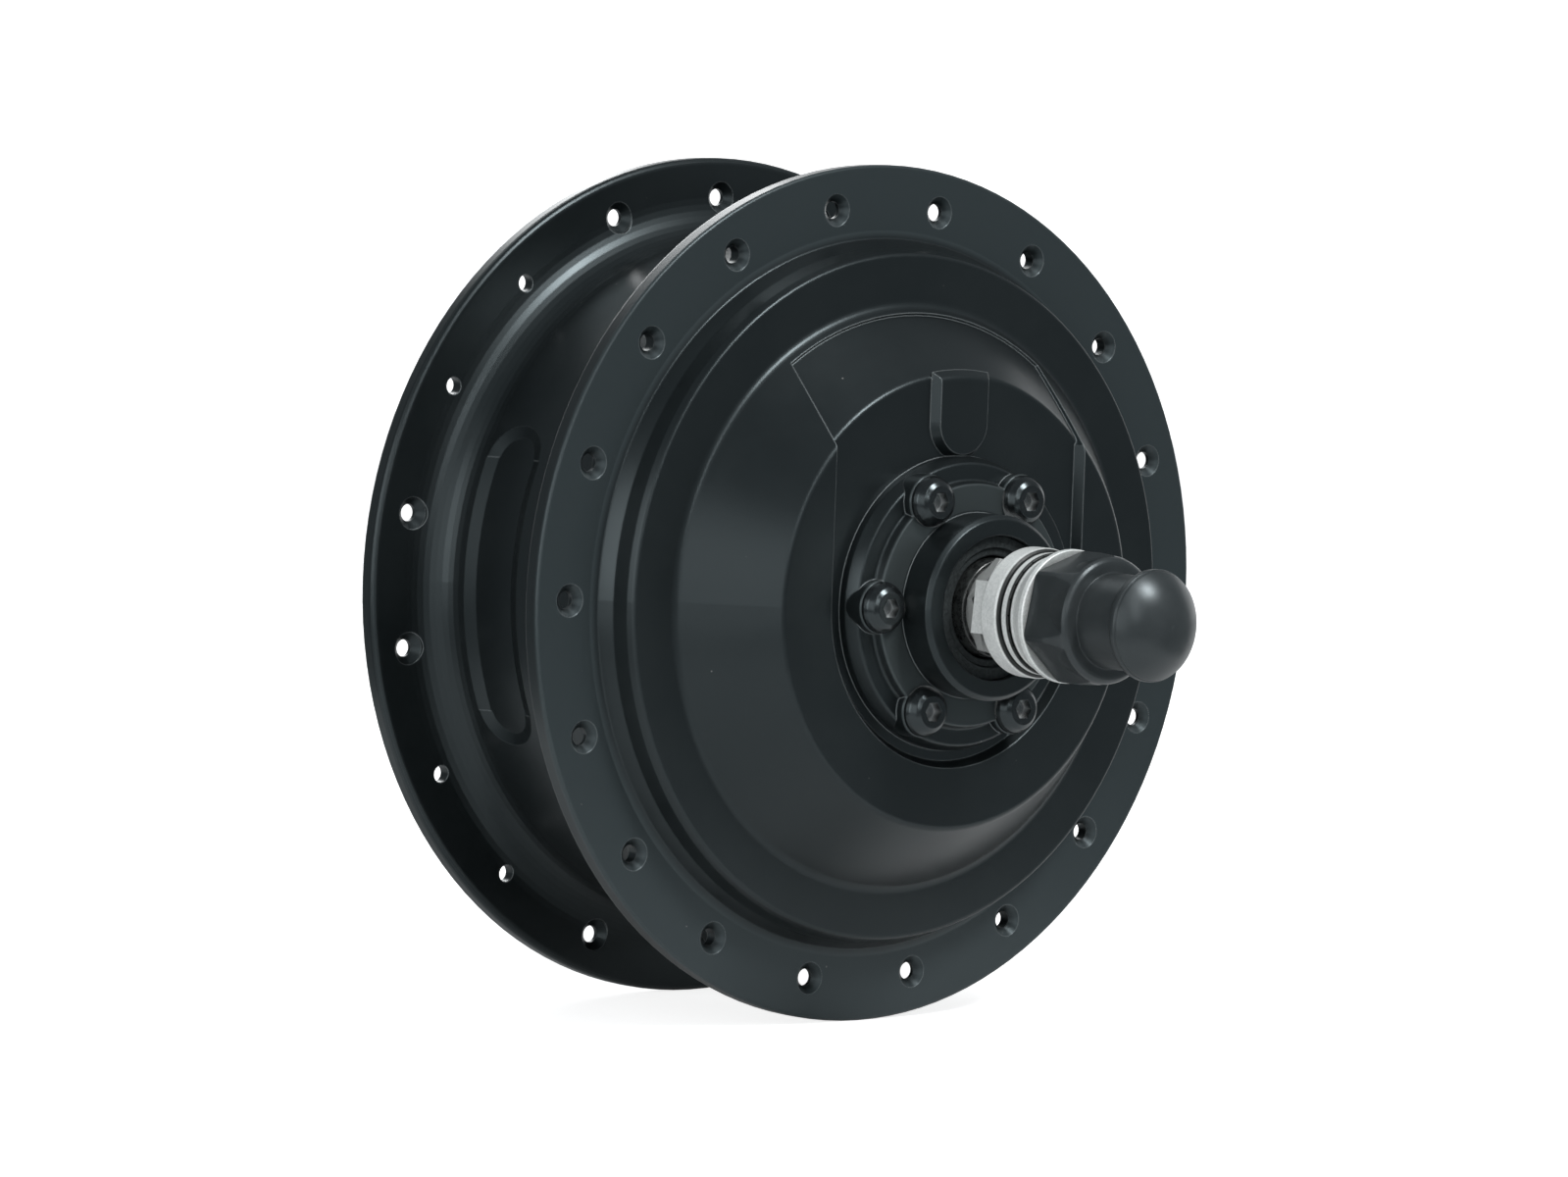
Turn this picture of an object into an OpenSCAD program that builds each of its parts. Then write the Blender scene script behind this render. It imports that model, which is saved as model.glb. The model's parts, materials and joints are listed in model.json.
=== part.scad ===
// Geared hub motor for the rear wheel of an electric bicycle.
// The axle lies along Y, the disc brake side is +Y and up is +Z.
// The shell turns on a fixed axle through one planetary stage.

/* [Axle and fork ends] */
// Distance between the two frame dropout faces, mm
over_locknut = 135; // [134:0.5:138]
// Middle of the two dropout faces, seen from the middle of the drum, mm
axle_mid_y = -4.1; // [-4.2:0.1:-3.9]
// Room left for a frame plate under each torque washer, mm
frame_gap = 4.1; // [3.9:0.1:5]
// Direction of the frame slots, degrees from upright
slot_turn = 85; // [0:5:90]
// Axle thread diameter, mm
axle_d = 12; // [11.6:0.1:12]
// Width over the two axle flats, mm
axle_flat_w = 10; // [9.4:0.2:10.4]
// Length of axle beyond the inner face of each torque washer, mm
axle_stub = 31; // [30:0.5:31.5]
// Axle diameter under the stator, mm
stator_seat_d = 20; // [19:0.5:21]
// Axle diameter in the drive side bearing, mm
axle_big_d = 17; // [16.6:0.1:17]
// Bore for the motor cable, mm
cable_bore_d = 6.4; // [6:0.2:6.6]

/* [Hub shell] */
// Outside diameter of the spoke flanges, mm
flange_d = 159; // [158:0.5:162]
// Thickness of each spoke flange, mm
flange_t = 3.6; // [3.2:0.1:4]
// Axial position of the outer face, disc side flange, mm
flange_disc_y = 25; // [24.5:0.5:26]
// Axial position of the outer face, drive side flange, mm
flange_drive_y = -27.4; // [-28:0.2:-27]
// Outside diameter of the drum between the flanges, mm
drum_d = 129; // [128.6:0.2:130]
// Wall of the drum, mm
drum_wall = 4.2; // [3.9:0.1:4.4]
// Radius of the fillet from drum to flange, mm
drum_fillet = 7.4; // [6.6:0.2:7.8]
// Spoke holes in each flange
spoke_count = 18; // [16:1:20]
// Circle diameter through the spoke holes, mm
spoke_pcd = 144; // [143:0.5:146]
// Spoke hole diameter, mm
spoke_hole_d = 3.2; // [2.8:0.1:3.4]
// Countersink diameter of a spoke hole, mm
spoke_sink_d = 6; // [5:0.2:6.4]
// Diameter of the cast ring next to the disc side flange, mm
step_d = 131.8; // [131:0.2:132.4]
// Height of the flat shoulder of the disc side cover, mm
shoulder_y = 32.7; // [32.4:0.1:33]
// Outer diameter of the flat shoulder, mm
shoulder_d = 126.6; // [126:0.2:127]
// Diameter where the cone starts, mm
cone_foot_d = 107.8; // [107:0.2:108.4]
// Diameter where the cone ends, mm
cone_top_d = 83; // [82:0.2:84]
// Height of the flat top of the cone, mm
top_y = 48.2; // [48:0.1:48.6]
// Wall of the disc side end, mm
end_wall = 4; // [3.8:0.1:4.2]

/* [Recess and tongue] */
// Depth of the arched recess, mm
recess_depth = 1.7; // [1.2:0.1:1.9]
// Half width of the recess at its rim, mm
recess_half_w = 30.2; // [29.8:0.1:30.6]
// Side slope of the recess walls, mm over its depth
recess_draft = 1.25; // [0.8:0.05:1.3]
// Half width of the raised tongue at its top, mm
tongue_half_w = 5.7; // [5:0.1:6.4]
// Height of the centre of the tongue's round end, mm
tongue_centre_z = 33; // [32.6:0.1:34]

/* [Disc brake seat] */
// Face that the brake disc bolts to, mm
disc_seat_y = 52.4; // [52.2:0.1:52.8]
// Circle diameter of the six disc screws, mm
disc_pcd = 44; // [43.8:0.1:44.2]
// Radius of the pad around each disc screw, mm
disc_pad_r = 4.9; // [4.7:0.1:5]
// Pilot diameter that centres the disc, mm
pilot_d = 34; // [33.8:0.1:34]
// End of the pilot collar, mm
pilot_end_y = 59.5; // [59:0.1:60]
// Disc screw thread diameter, mm
disc_screw_d = 5; // [4.8:0.1:5]
// Disc screw head diameter, mm
disc_head_d = 9.4; // [9:0.1:9.6]
// Disc screw head height, mm
disc_head_h = 2.8; // [2.5:0.1:3]
// Disc screw length under the head, mm
disc_screw_l = 8; // [6:0.5:8.5]

/* [Drum panel] */
// Half width of the bare panel on the drum, mm
panel_half_w = 7.8; // [7:0.2:8]
// Half length of the bare panel, mm
panel_half_l = 31.2; // [28:0.2:33]
// Axial centre of the bare panel, mm
panel_y = -8.2; // [-8.3:0.1:-5]
// Depth of the bare panel, mm
panel_depth = 0.9; // [0.5:0.1:1.2]
// Width of the panel's sloping border, mm
panel_border = 2.6; // [2:0.1:3]

/* [Drive side cover] */
// Thickness of the cover rim, mm
cover_rim_t = 3; // [2.8:0.1:3.2]
// Diameter of the cover rim, mm
cover_d = 132; // [131.6:0.1:132.4]
// Thickness of the cover plate, mm
cover_plate_t = 3.4; // [3:0.1:3.6]
// Height that the cover face stands out of the rim, mm
cover_rise = 3.6; // [3:0.1:4]
// Screws in the cover
cover_screw_count = 9; // [6:1:12]
// Circle diameter of the cover screws, mm
cover_screw_pcd = 126; // [125.6:0.1:126.4]
// Freewheel thread outside diameter, mm
freewheel_d = 34.92; // [34.8:0.02:34.96]
// Length of the freewheel thread, mm
freewheel_l = 11; // [10.6:0.1:11.4]

/* [Bearings] */
// Outside diameter of the disc side bearing, mm
disc_brg_d = 32; // [31.6:0.1:32]
// Width of the disc side bearing, mm
disc_brg_w = 10; // [9.6:0.1:10]
// Outside diameter of the drive side bearing, mm
drive_brg_d = 30; // [29.8:0.1:30.2]
// Width of the drive side bearing, mm
drive_brg_w = 7; // [6.6:0.1:7.2]
// Outside diameter of the rotor bearing, mm
rotor_brg_d = 24; // [23.6:0.1:24.4]
// Width of the rotor bearing, mm
rotor_brg_w = 5; // [4.6:0.1:5]

/* [Motor] */
// Radial height of the stator teeth, mm
stator_tooth_h = 16; // [15:0.5:17]
// Stator stack height, mm
stator_h = 21; // [20:0.5:21.5]
// Stator teeth
stator_teeth = 18; // [18:1:18]
// Rotor magnets
magnet_count = 20; // [16:2:22]
// Air gap between stator and magnets, mm
air_gap = 0.5; // [0.4:0.05:0.6]
// Magnet thickness, mm
magnet_t = 3; // [2.6:0.1:3.1]
// Wall of the rotor bell, mm
rotor_wall = 2.4; // [2.2:0.1:2.6]
// Running gap between the rotor bell and the drum, mm
rotor_gap = 2.4; // [2:0.1:2.8]

/* [Planetary gears] */
// Gear module, mm
gear_module = 1.1; // [1.09:0.005:1.105]
// Teeth of the sun gear
sun_teeth = 18; // [18:1:18]
// Teeth of each planet gear
planet_teeth = 36; // [36:1:36]
// Width of the planet gears, mm
gear_w = 10; // [9:0.5:10]
// Play at each gear mesh, mm
backlash = 0.16; // [0.1:0.02:0.24]
// Diameter of the planet pins, mm
planet_pin_d = 6; // [5.6:0.1:6.4]
// Outside diameter of the planet bearings, mm
planet_brg_d = 19; // [18.6:0.2:19.4]
// Screws that hold the ring gear
ring_screw_count = 6; // [6:1:8]

/* [End hardware] */
// Diameter of the spacer sleeve on the disc side, mm
spacer_d = 18.1; // [17.8:0.1:18.2]
// Width over the flats of the disc side lock nut, mm
lock_nut_af = 17; // [16.6:0.2:17.4]
// How far the lock nut is turned on the axle, degrees
lock_nut_turn = 17.5; // [0:2.5:60]
// Diameter of the torque washer, mm
torque_washer_d = 23.7; // [23:0.1:24]
// Thickness of the torque washer, mm
torque_washer_t = 4.8; // [4.4:0.1:5]
// Width of the tab that sits in the frame slot, mm
tab_w = 9.6; // [9:0.1:9.8]
// How far the tab reaches from the torque washer towards the hub, mm
tab_l = 3.4; // [3:0.1:3.6]
// Distance from the axle's middle to the outer face of the tab, mm
tab_out = 10.3; // [9.8:0.1:10.6]
// Thickness of the tab, mm
tab_t = 3; // [2.6:0.1:3.2]
// Diameter of the serrated washer, mm
serrated_d = 22.2; // [21.6:0.1:22.6]
// Thickness of the serrated washer, mm
serrated_t = 2; // [1.8:0.1:2.2]
// Flange diameter of the axle nut, mm
nut_flange_d = 24.2; // [23.6:0.1:24.4]
// Width over the flats of the axle nut, mm
nut_af = 18; // [17.6:0.1:18]
// How far the axle nuts and their caps are turned, degrees
nut_turn = 48; // [0:2:60]
// Height of the axle nut, mm
nut_h = 12.5; // [12:0.1:13]
// Tip of the nut cap beyond the inner face of the torque washer, mm
cap_tip = 38.4; // [38.2:0.1:39]

/* [Fits] */
// Radial clearance between seated pieces, mm
fit = 0.02; // [0.01:0.01:0.03]
// Gap between pieces that turn past each other, mm
run_gap = 0.4; // [0.35:0.05:0.5]

/* [Hidden] */
smooth = 128;
fine = 48;
drop_y = axle_mid_y + over_locknut / 2;
washer_y = drop_y + frame_gap;
axle_r = axle_d / 2;
axle_end_y = washer_y + axle_stub;
drive_drop_y = 2 * axle_mid_y - drop_y;
drive_end_y = -axle_end_y;
flange_r = flange_d / 2;
drum_r = drum_d / 2;
drum_in_r = drum_r - drum_wall;
flange_disc_in_y = flange_disc_y - flange_t;
flange_drive_in_y = flange_drive_y + flange_t;
shoulder_r = shoulder_d / 2;
cone_foot_r = cone_foot_d / 2;
cone_top_r = cone_top_d / 2;
cone_slope = (top_y - shoulder_y) / (cone_foot_r - cone_top_r);
shoulder_in_y = shoulder_y - end_wall;
top_in_y = top_y - end_wall;
recess_floor_y = top_y - recess_depth;
recess_floor_half_w = recess_half_w - recess_draft;
recess_toe_r = cone_foot_r - 1.3;
disc_ring_r = disc_pcd / 2 + disc_pad_r + 0.12;
disc_ring_y = disc_seat_y - 1.9;
disc_boss_in_y = top_in_y - 3.2;
pilot_r = pilot_d / 2;
disc_brg_end_y = 50;
disc_brg_y = disc_brg_end_y - disc_brg_w;
disc_brg_r = disc_brg_d / 2;
spacer_r = spacer_d / 2;
seal_seat_r = 13.2;
seal_y0 = disc_brg_end_y + 1.2;
seal_end_y = pilot_end_y - 1.4;
cover_seat_y = flange_drive_y + cover_rim_t;
gasket_t = 0.4;
gasket_y = cover_seat_y + gasket_t;
cover_r = cover_d / 2;
cover_seat_r = cover_r + 0.25;
cover_spigot_r = drum_in_r - 0.25;
cover_face_y = flange_drive_y - cover_rise;
cover_in_y = cover_face_y + cover_plate_t;
cover_neck_y = cover_face_y - 2.5;
freewheel_end_y = cover_neck_y - freewheel_l;
freewheel_r = freewheel_d / 2;
drive_brg_r = drive_brg_d / 2;
drive_brg_y0 = freewheel_end_y + 1.5;
drive_brg_y1 = drive_brg_y0 + drive_brg_w;
axle_big_r = axle_big_d / 2;
cover_screw_r = cover_screw_pcd / 2;
cover_screw_d = 3;
cover_screw_l = 5.8;
cover_screw_y = flange_drive_y + 1.6;
stator_seat_r = stator_seat_d / 2;
stator_seat_y = 7;
rotor_seat_r = 7.5;
rotor_seat_end_y = 14.2;
rotor_brg_y = stator_seat_y + 0.5;
rotor_brg_r = rotor_brg_d / 2;
rotor_plate_y0 = 9.3;
rotor_plate_y1 = rotor_brg_y + rotor_brg_w;
stator_y0 = -17;
stator_y1 = stator_y0 + stator_h;
rotor_out_r = drum_in_r - rotor_gap;
magnet_out_r = rotor_out_r - rotor_wall;
magnet_in_r = magnet_out_r - magnet_t;
stator_r = magnet_in_r - air_gap;
stator_back_r = stator_r - stator_tooth_h;
stator_back_t = 10;
stator_hub_r = stator_back_r - stator_back_t;
rotor_y0 = -19;
planet_count = 3;
ring_teeth = sun_teeth + 2 * planet_teeth;
sun_r = gear_module * sun_teeth / 2;
planet_r = gear_module * planet_teeth / 2;
ring_r = gear_module * ring_teeth / 2;
centre_r = sun_r + planet_r;
gear_y0 = 17.5;
gear_y1 = gear_y0 + gear_w;
planet_brg_inset = 2;
planet_brg_y = gear_y0 + planet_brg_inset;
planet_brg_w = gear_w - 2 * planet_brg_inset;
ring_gear_r = 57.4;
ring_gear_y0 = gear_y0 - 0.5;
ring_screw_r = 54.3;
plate_a_y0 = 15;
plate_a_y1 = gear_y0 - run_gap;
plate_b_y0 = gear_y1 + run_gap;
plate_b_y1 = plate_b_y0 + 4;
carrier_r = 38;
carrier_hub_y1 = disc_boss_in_y - 2.6;
clutch_race_r = 10;
clutch_race_y0 = plate_b_y0 + 1.1;
clutch_roller_r = 1.5;
clutch_roller_count = 8;
clutch_bore_r = 12.4;
sun_flange_r = 19;
sun_flange_y1 = rotor_plate_y1 + 1.9;
sun_bore_r = 7.4;
sun_end_y = gear_y1 + 0.2;
sun_screw_r = 16.3;
torque_y1 = washer_y + torque_washer_t;
serrated_y1 = torque_y1 + serrated_t;
nut_end_y = serrated_y1 + nut_h;
nut_flange_r = nut_flange_d / 2;
flat_l = frame_gap + torque_washer_t + 3;
cap_base_y = serrated_y1 + 5;
cap_neck_y = axle_end_y - 8.6;
cap_tip_y = washer_y + cap_tip;
drive_tip_y = -cap_tip_y;
drive_neck_y = nut_end_y + 1.8;
cap_bore_r = axle_r + 0.3;
pressure_angle = 20;

// A profile given as [radius, height, corner rounding] becomes points with true arcs.
function unit(v) = v / norm(v);
function corner(a, b, c, r) =
    let (u = unit(a - b), w = unit(c - b), ang = acos(max(-1, min(1, u * w))))
    (r <= 0 || ang > 176) ? [b] :
    let (d = r / tan(ang / 2), mid = unit(u + w), ctr = b + mid * (r / sin(ang / 2)),
         p = b + u * d - ctr, q = b + w * d - ctr,
         a0 = atan2(p[1], p[0]), turn = atan2(p[0] * q[1] - p[1] * q[0], p * q), n = r > 3 ? 10 : 4)
    [for (i = [0:n]) ctr + r * [cos(a0 + turn * i / n), sin(a0 + turn * i / n)]];
function rounded(pts) = let (n = len(pts))
    [for (i = [0:n - 1])
        each corner([pts[(i + n - 1) % n][0], pts[(i + n - 1) % n][1]], [pts[i][0], pts[i][1]],
                    [pts[(i + 1) % n][0], pts[(i + 1) % n][1]], len(pts[i]) > 2 ? pts[i][2] : 0)];

// Revolves a profile of radius and axial position about the wheel axis.
module turned(pts, facets = smooth) {
    rotate([-90, 0, 0])
        rotate_extrude($fn = facets)
            polygon(rounded(pts));
}

// A plain ring between two radii and two axial positions.
module ring(r_in, r_out, y0, y1, edge = 0, facets = smooth) {
    turned([[r_in, y0, edge], [r_out, y0, edge], [r_out, y1, edge], [r_in, y1, edge]], facets);
}

// A straight pin along the axle direction, chamfered at the far end when asked.
module pin(r, y0, y1, facets = fine) {
    translate([0, y0, 0])
        rotate([-90, 0, 0])
            cylinder(r = r, h = y1 - y0, $fn = facets);
}

module cone_pin(r0, r1, y0, y1, facets = fine) {
    translate([0, y0, 0])
        rotate([-90, 0, 0])
            cylinder(r1 = r0, r2 = r1, h = y1 - y0, $fn = facets);
}

// Copies children to places around the axle. Angle 0 is up and it grows towards +X.
module around(count, radius, start = 0) {
    for (k = [0:count - 1])
        rotate([0, start + k * 360 / count, 0])
            translate([0, 0, radius])
                children();
}

module hex_prism(af, y0, y1) {
    translate([0, y0, 0])
        rotate([-90, 0, 0])
            rotate([0, 0, 30])
                cylinder(d = af / cos(30), h = y1 - y0, $fn = 6);
}

// Repeats a piece of the disc side on the drive side.
module mirror_y() {
    translate([0, 2 * axle_mid_y, 0])
        mirror([0, 1, 0])
            children();
}

// Bore shape of the threaded axle end with its two flats, grown by a clearance.
module flatted_bore(y0, y1, grow) {
    intersection() {
        pin(axle_r + grow, y0, y1, smooth);
        rotate([0, slot_turn, 0])
            translate([-axle_flat_w / 2 - grow, y0 - 1, -axle_d])
                cube([axle_flat_w + 2 * grow, y1 - y0 + 2, 2 * axle_d]);
    }
}

// Hub shell
module shell_body() {
    turned([
        [seal_seat_r, pilot_end_y, 0.3],
        [pilot_r - 0.8, pilot_end_y, 0.4],
        [pilot_r, pilot_end_y - 0.8, 0.3],
        [pilot_r, top_y],
        [cone_top_r, top_y, 1.4],
        [cone_foot_r, shoulder_y, 2.0],
        [shoulder_r, shoulder_y, 0.8],
        [shoulder_r + 0.6, shoulder_y - 1.5, 1.2],
        [step_d / 2 - 1.4, flange_disc_y + 3.1, 1.2],
        [step_d / 2, flange_disc_y + 0.4, 0.4],
        [step_d / 2 + 1.5, flange_disc_y, 0.3],
        [flange_r, flange_disc_y, 0.6],
        [flange_r, flange_disc_in_y, 0.6],
        [drum_r, flange_disc_in_y, drum_fillet],
        [drum_r, flange_drive_in_y, drum_fillet],
        [flange_r, flange_drive_in_y, 1.2],
        [flange_r, flange_drive_y, 0.6],
        [cover_seat_r, flange_drive_y, 0.3],
        [cover_seat_r, gasket_y],
        [drum_in_r, gasket_y],
        [drum_in_r, shoulder_in_y, 2],
        [cone_foot_r - 1.8, shoulder_in_y],
        [cone_top_r - 1.9, top_in_y, 1.5],
        [disc_ring_r, top_in_y],
        [disc_ring_r, disc_boss_in_y, 1],
        [disc_brg_r + 4, disc_boss_in_y],
        [disc_brg_r + 4, disc_brg_y - 0.8, 0.5],
        [disc_brg_r + fit, disc_brg_y - 0.8, 0.3],
        [disc_brg_r + fit, disc_brg_end_y],
        [seal_seat_r, disc_brg_end_y],
    ]);
}

// Space above the recess floor, out to the toe near the cone's foot.
module above_floor() {
    turned([
        [0, recess_floor_y],
        [cone_top_r + 0.4, recess_floor_y, 1.2],
        [recess_toe_r - 0.5, shoulder_y + 1.3],
        [recess_toe_r, shoulder_y + (cone_foot_r - recess_toe_r) * cone_slope],
        [recess_toe_r, top_y + 12],
        [0, top_y + 12],
    ]);
}

// Trough with sloping sides, its floor half width w0 and its rim half width w1.
module trough(w0, w1, d, len, over) {
    s = (w1 - w0) / d;
    rotate([0, 0, 0])
        linear_extrude(height = len)
            polygon([[-w0, 0], [w0, 0], [w0 + s * over, over], [-w0 - s * over, over]]);
}

// The same trough laid along the slope of the cone, with its floor on the recess floor.
module cone_trough(w0, w1, x_mid) {
    z_mid = sqrt(pow((cone_top_r + cone_foot_r) / 2, 2) - x_mid * x_mid);
    r_mid = (cone_top_r + cone_foot_r) / 2;
    y_mid = top_y - (r_mid - cone_top_r) * cone_slope - recess_depth;
    lean = atan(cone_slope * z_mid / r_mid);
    translate([0, y_mid, z_mid])
        rotate([lean, 0, 0])
            translate([0, 0, -24])
                trough(w0, w1, recess_depth * cos(lean), 60, 14);
}

module recess_cut() {
    intersection() {
        above_floor();
        union() {
            translate([0, recess_floor_y, 0])
                trough(recess_floor_half_w, recess_half_w, recess_depth, 60, 4);
            cone_trough(recess_floor_half_w, recess_half_w, recess_half_w);
            cone_pin(recess_floor_half_w, recess_floor_half_w + 4 * recess_draft / recess_depth,
                     recess_floor_y, recess_floor_y + 4, smooth);
        }
    }
}

module tongue() {
    base = tongue_half_w + 1.1;
    translate([0, recess_floor_y, tongue_centre_z])
        trough(base, tongue_half_w, recess_depth, 30, recess_depth + 0.01);
    translate([0, recess_floor_y, tongue_centre_z])
        rotate([-90, 0, 0])
            cylinder(r1 = base, r2 = tongue_half_w, h = recess_depth + 0.01, $fn = fine);
    intersection() {
        cone_trough(base, tongue_half_w, 0);
        translate([-20, shoulder_y - 4, cone_top_r])
            cube([40, 30, 30]);
    }
}

module disc_seat() {
    turned([
        [pilot_r - 2, recess_floor_y - 1],
        [disc_ring_r, recess_floor_y - 1],
        [disc_ring_r, top_y - 0.2, 0.6],
        [disc_ring_r - 1.1, disc_ring_y, 0.6],
        [disc_pcd / 2 + 0.7, disc_ring_y, 0.5],
        [disc_pcd / 2 + 0.2, disc_seat_y, 0.4],
        [pilot_r - 2, disc_seat_y],
    ]);
    around(6, disc_pcd / 2, 30)
        turned([[0, disc_boss_in_y + 1], [disc_pad_r, disc_boss_in_y + 1],
                [disc_pad_r, disc_seat_y, 0.5], [0, disc_seat_y]], fine);
}

// Countersink in the face at y. It opens towards +Y with side = 1 and towards -Y with side = -1.
module spoke_sink(y, side) {
    sink = (spoke_sink_d - spoke_hole_d) / 2;
    turned([[0, y + side * 8], [spoke_sink_d / 2, y + side * 8], [spoke_sink_d / 2, y],
            [spoke_hole_d / 2, y - side * sink], [0, y - side * sink]], 32);
}

// Spoke hole through the flange from y0 to y1, with the countersink of its outer face.
module spoke_hole(y0, y1, outer_y, side) {
    pin(spoke_hole_d / 2, y0 - 8, y1 + 8, 24);
    spoke_sink(outer_y, side);
}

module panel_cut() {
    floor_r = drum_r - panel_depth;
    end_z = panel_half_l - panel_half_w;
    lean = asin(end_z / drum_r);
    slope = panel_border / panel_depth;
    // The round ends stay just inside the straight walls, so that the two never touch along a line.
    end_gap = 0.3;
    difference() {
        union() {
            intersection() {
                turned([
                    [floor_r - 1, panel_y - panel_half_w + panel_border + slope],
                    [drum_r + 0.6, panel_y - panel_half_w - 0.6 * slope],
                    [drum_r + 0.6, panel_y + panel_half_w + 0.6 * slope],
                    [floor_r - 1, panel_y + panel_half_w - panel_border - slope],
                ]);
                translate([0, -40, -end_z])
                    cube([80, 80, 2 * end_z]);
            }
            for (side = [-1, 1])
                rotate([0, side * lean, 0])
                    translate([floor_r - 1, panel_y, 0])
                        rotate([0, 90, 0])
                            cylinder(r1 = panel_half_w - panel_border - slope - end_gap,
                                     r2 = panel_half_w + 0.6 * slope - end_gap,
                                     h = panel_depth + 1.6, $fn = smooth);
        }
        pin(floor_r, -30, 30, smooth);
    }
}

module hub_shell() {
    color([0.07, 0.07, 0.075])
    difference() {
        union() {
            difference() {
                shell_body();
                around(spoke_count, spoke_pcd / 2, 0)
                    spoke_sink(flange_drive_in_y, 1);
                around(spoke_count, spoke_pcd / 2, 180 / spoke_count)
                    spoke_sink(flange_disc_in_y, -1);
                difference() {
                    recess_cut();
                    tongue();
                }
            }
            disc_seat();
        }
        turned([[seal_seat_r, disc_brg_end_y - 0.01], [seal_seat_r, top_y + 20],
                [0, top_y + 20], [0, disc_boss_in_y - 10], [disc_brg_r + fit, disc_boss_in_y - 10],
                [disc_brg_r + fit, disc_brg_end_y - 0.01]]);
        around(spoke_count, spoke_pcd / 2, 180 / spoke_count)
            spoke_hole(flange_disc_in_y, flange_disc_y, flange_disc_y, 1);
        around(spoke_count, spoke_pcd / 2, 0)
            spoke_hole(flange_drive_y, flange_drive_in_y, flange_drive_y, -1);
        around(6, disc_pcd / 2, 30)
            pin(disc_screw_d / 2 + fit, disc_seat_y - disc_screw_l - 0.6, disc_seat_y + 1);
        around(cover_screw_count, cover_screw_r, 20)
            pin(cover_screw_d / 2 + fit, gasket_y - 1, cover_screw_y + cover_screw_l + 0.3);
        around(ring_screw_count, ring_screw_r, 30)
            pin(1.5 + fit, shoulder_in_y - 1, shoulder_y - 1.2);
        panel_cut();
    }
}

module button_screw(d, head_d, head_h, l) {
    difference() {
        union() {
            turned([[0, 0], [head_d / 2, 0], [head_d / 2, 0.5], [head_d / 2 - 0.25, head_h * 0.45, 1],
                    [head_d / 2 - 0.9, head_h * 0.8, 1], [head_d / 2 - 1.75, head_h, 0.4],
                    [0, head_h]], fine);
            turned([[0, 0.1], [d / 2, 0.1], [d / 2, -l + 0.6], [d / 2 - 0.6, -l], [0, -l]], fine);
        }
        hex_prism(head_d * 0.36, head_h - 1.8, head_h + 1);
        cone_pin(0, 1.6, head_h - 2.2, head_h - 1.75);
    }
}

module disc_screws() {
    color([0.04, 0.04, 0.045])
    around(6, disc_pcd / 2, 30)
        translate([0, disc_seat_y, 0])
            button_screw(disc_screw_d, disc_head_d, disc_head_h, disc_screw_l);
}

// Drive side cover
module side_cover() {
    color([0.08, 0.08, 0.085])
    difference() {
        turned([
            [drive_brg_r + fit, cover_in_y - 1, 0.3],
            [drive_brg_r + 4.5, cover_in_y - 1],
            [drive_brg_r + 8, cover_in_y, 1],
            [cover_spigot_r - 5.5, cover_in_y, 1],
            [cover_spigot_r - 2.4, cover_seat_y, 0.6],
            [cover_spigot_r - 2.4, gasket_y + 1.8, 0.3],
            [cover_spigot_r, gasket_y + 1.8, 0.3],
            [cover_spigot_r, cover_seat_y],
            [cover_r, cover_seat_y, 0.2],
            [cover_r, flange_drive_y, 0.5],
            [cover_spigot_r - 1.2, flange_drive_y, 0.6],
            [cover_spigot_r - 4.2, cover_face_y, 1.4],
            [freewheel_r + 11.5, cover_face_y, 1.4],
            [freewheel_r + 8.5, cover_neck_y, 1],
            [freewheel_r, cover_neck_y, 0.4],
            [freewheel_r, freewheel_end_y, 0.5],
            [axle_big_r + 3.5, freewheel_end_y, 0.3],
            [axle_big_r + 3.5, drive_brg_y0],
            [drive_brg_r + fit, drive_brg_y0],
        ]);
        around(cover_screw_count, cover_screw_r, 20) {
            pin(cover_screw_d / 2 + fit, flange_drive_y - 1, cover_seat_y + 1);
            cone_pin(2.9 + fit, 1.5 + fit, flange_drive_y - 0.001, cover_screw_y);
        }
    }
}

module cover_gasket() {
    color([0.25, 0.26, 0.24])
    difference() {
        ring(drum_in_r + 0.1, cover_r - 0.1, cover_seat_y, gasket_y);
        around(cover_screw_count, cover_screw_r, 20)
            pin(cover_screw_d / 2 + fit, cover_seat_y - 1, gasket_y + 1);
    }
}

module cover_screws() {
    color([0.05, 0.05, 0.055])
    around(cover_screw_count, cover_screw_r, 20)
        difference() {
            turned([[0, flange_drive_y], [2.9, flange_drive_y], [1.5, cover_screw_y],
                    [1.5, cover_screw_y + cover_screw_l - 0.5], [1.1, cover_screw_y + cover_screw_l],
                    [0, cover_screw_y + cover_screw_l]], fine);
            hex_prism(2, flange_drive_y - 1, flange_drive_y + 1.1);
        }
}

// Bearings
module bearing_inner(bore_r, out_r, y0, w) {
    race = bore_r + (out_r - bore_r) * 0.32;
    mid = (bore_r + out_r) / 2;
    ball = (out_r - bore_r) * 0.28;
    difference() {
        ring(bore_r + fit, race, y0, y0 + w, 0.3);
        translate([0, y0 + w / 2, 0])
            rotate([-90, 0, 0])
                rotate_extrude($fn = smooth)
                    translate([mid, 0])
                        circle(r = ball + fit, $fn = 32);
    }
}

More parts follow.
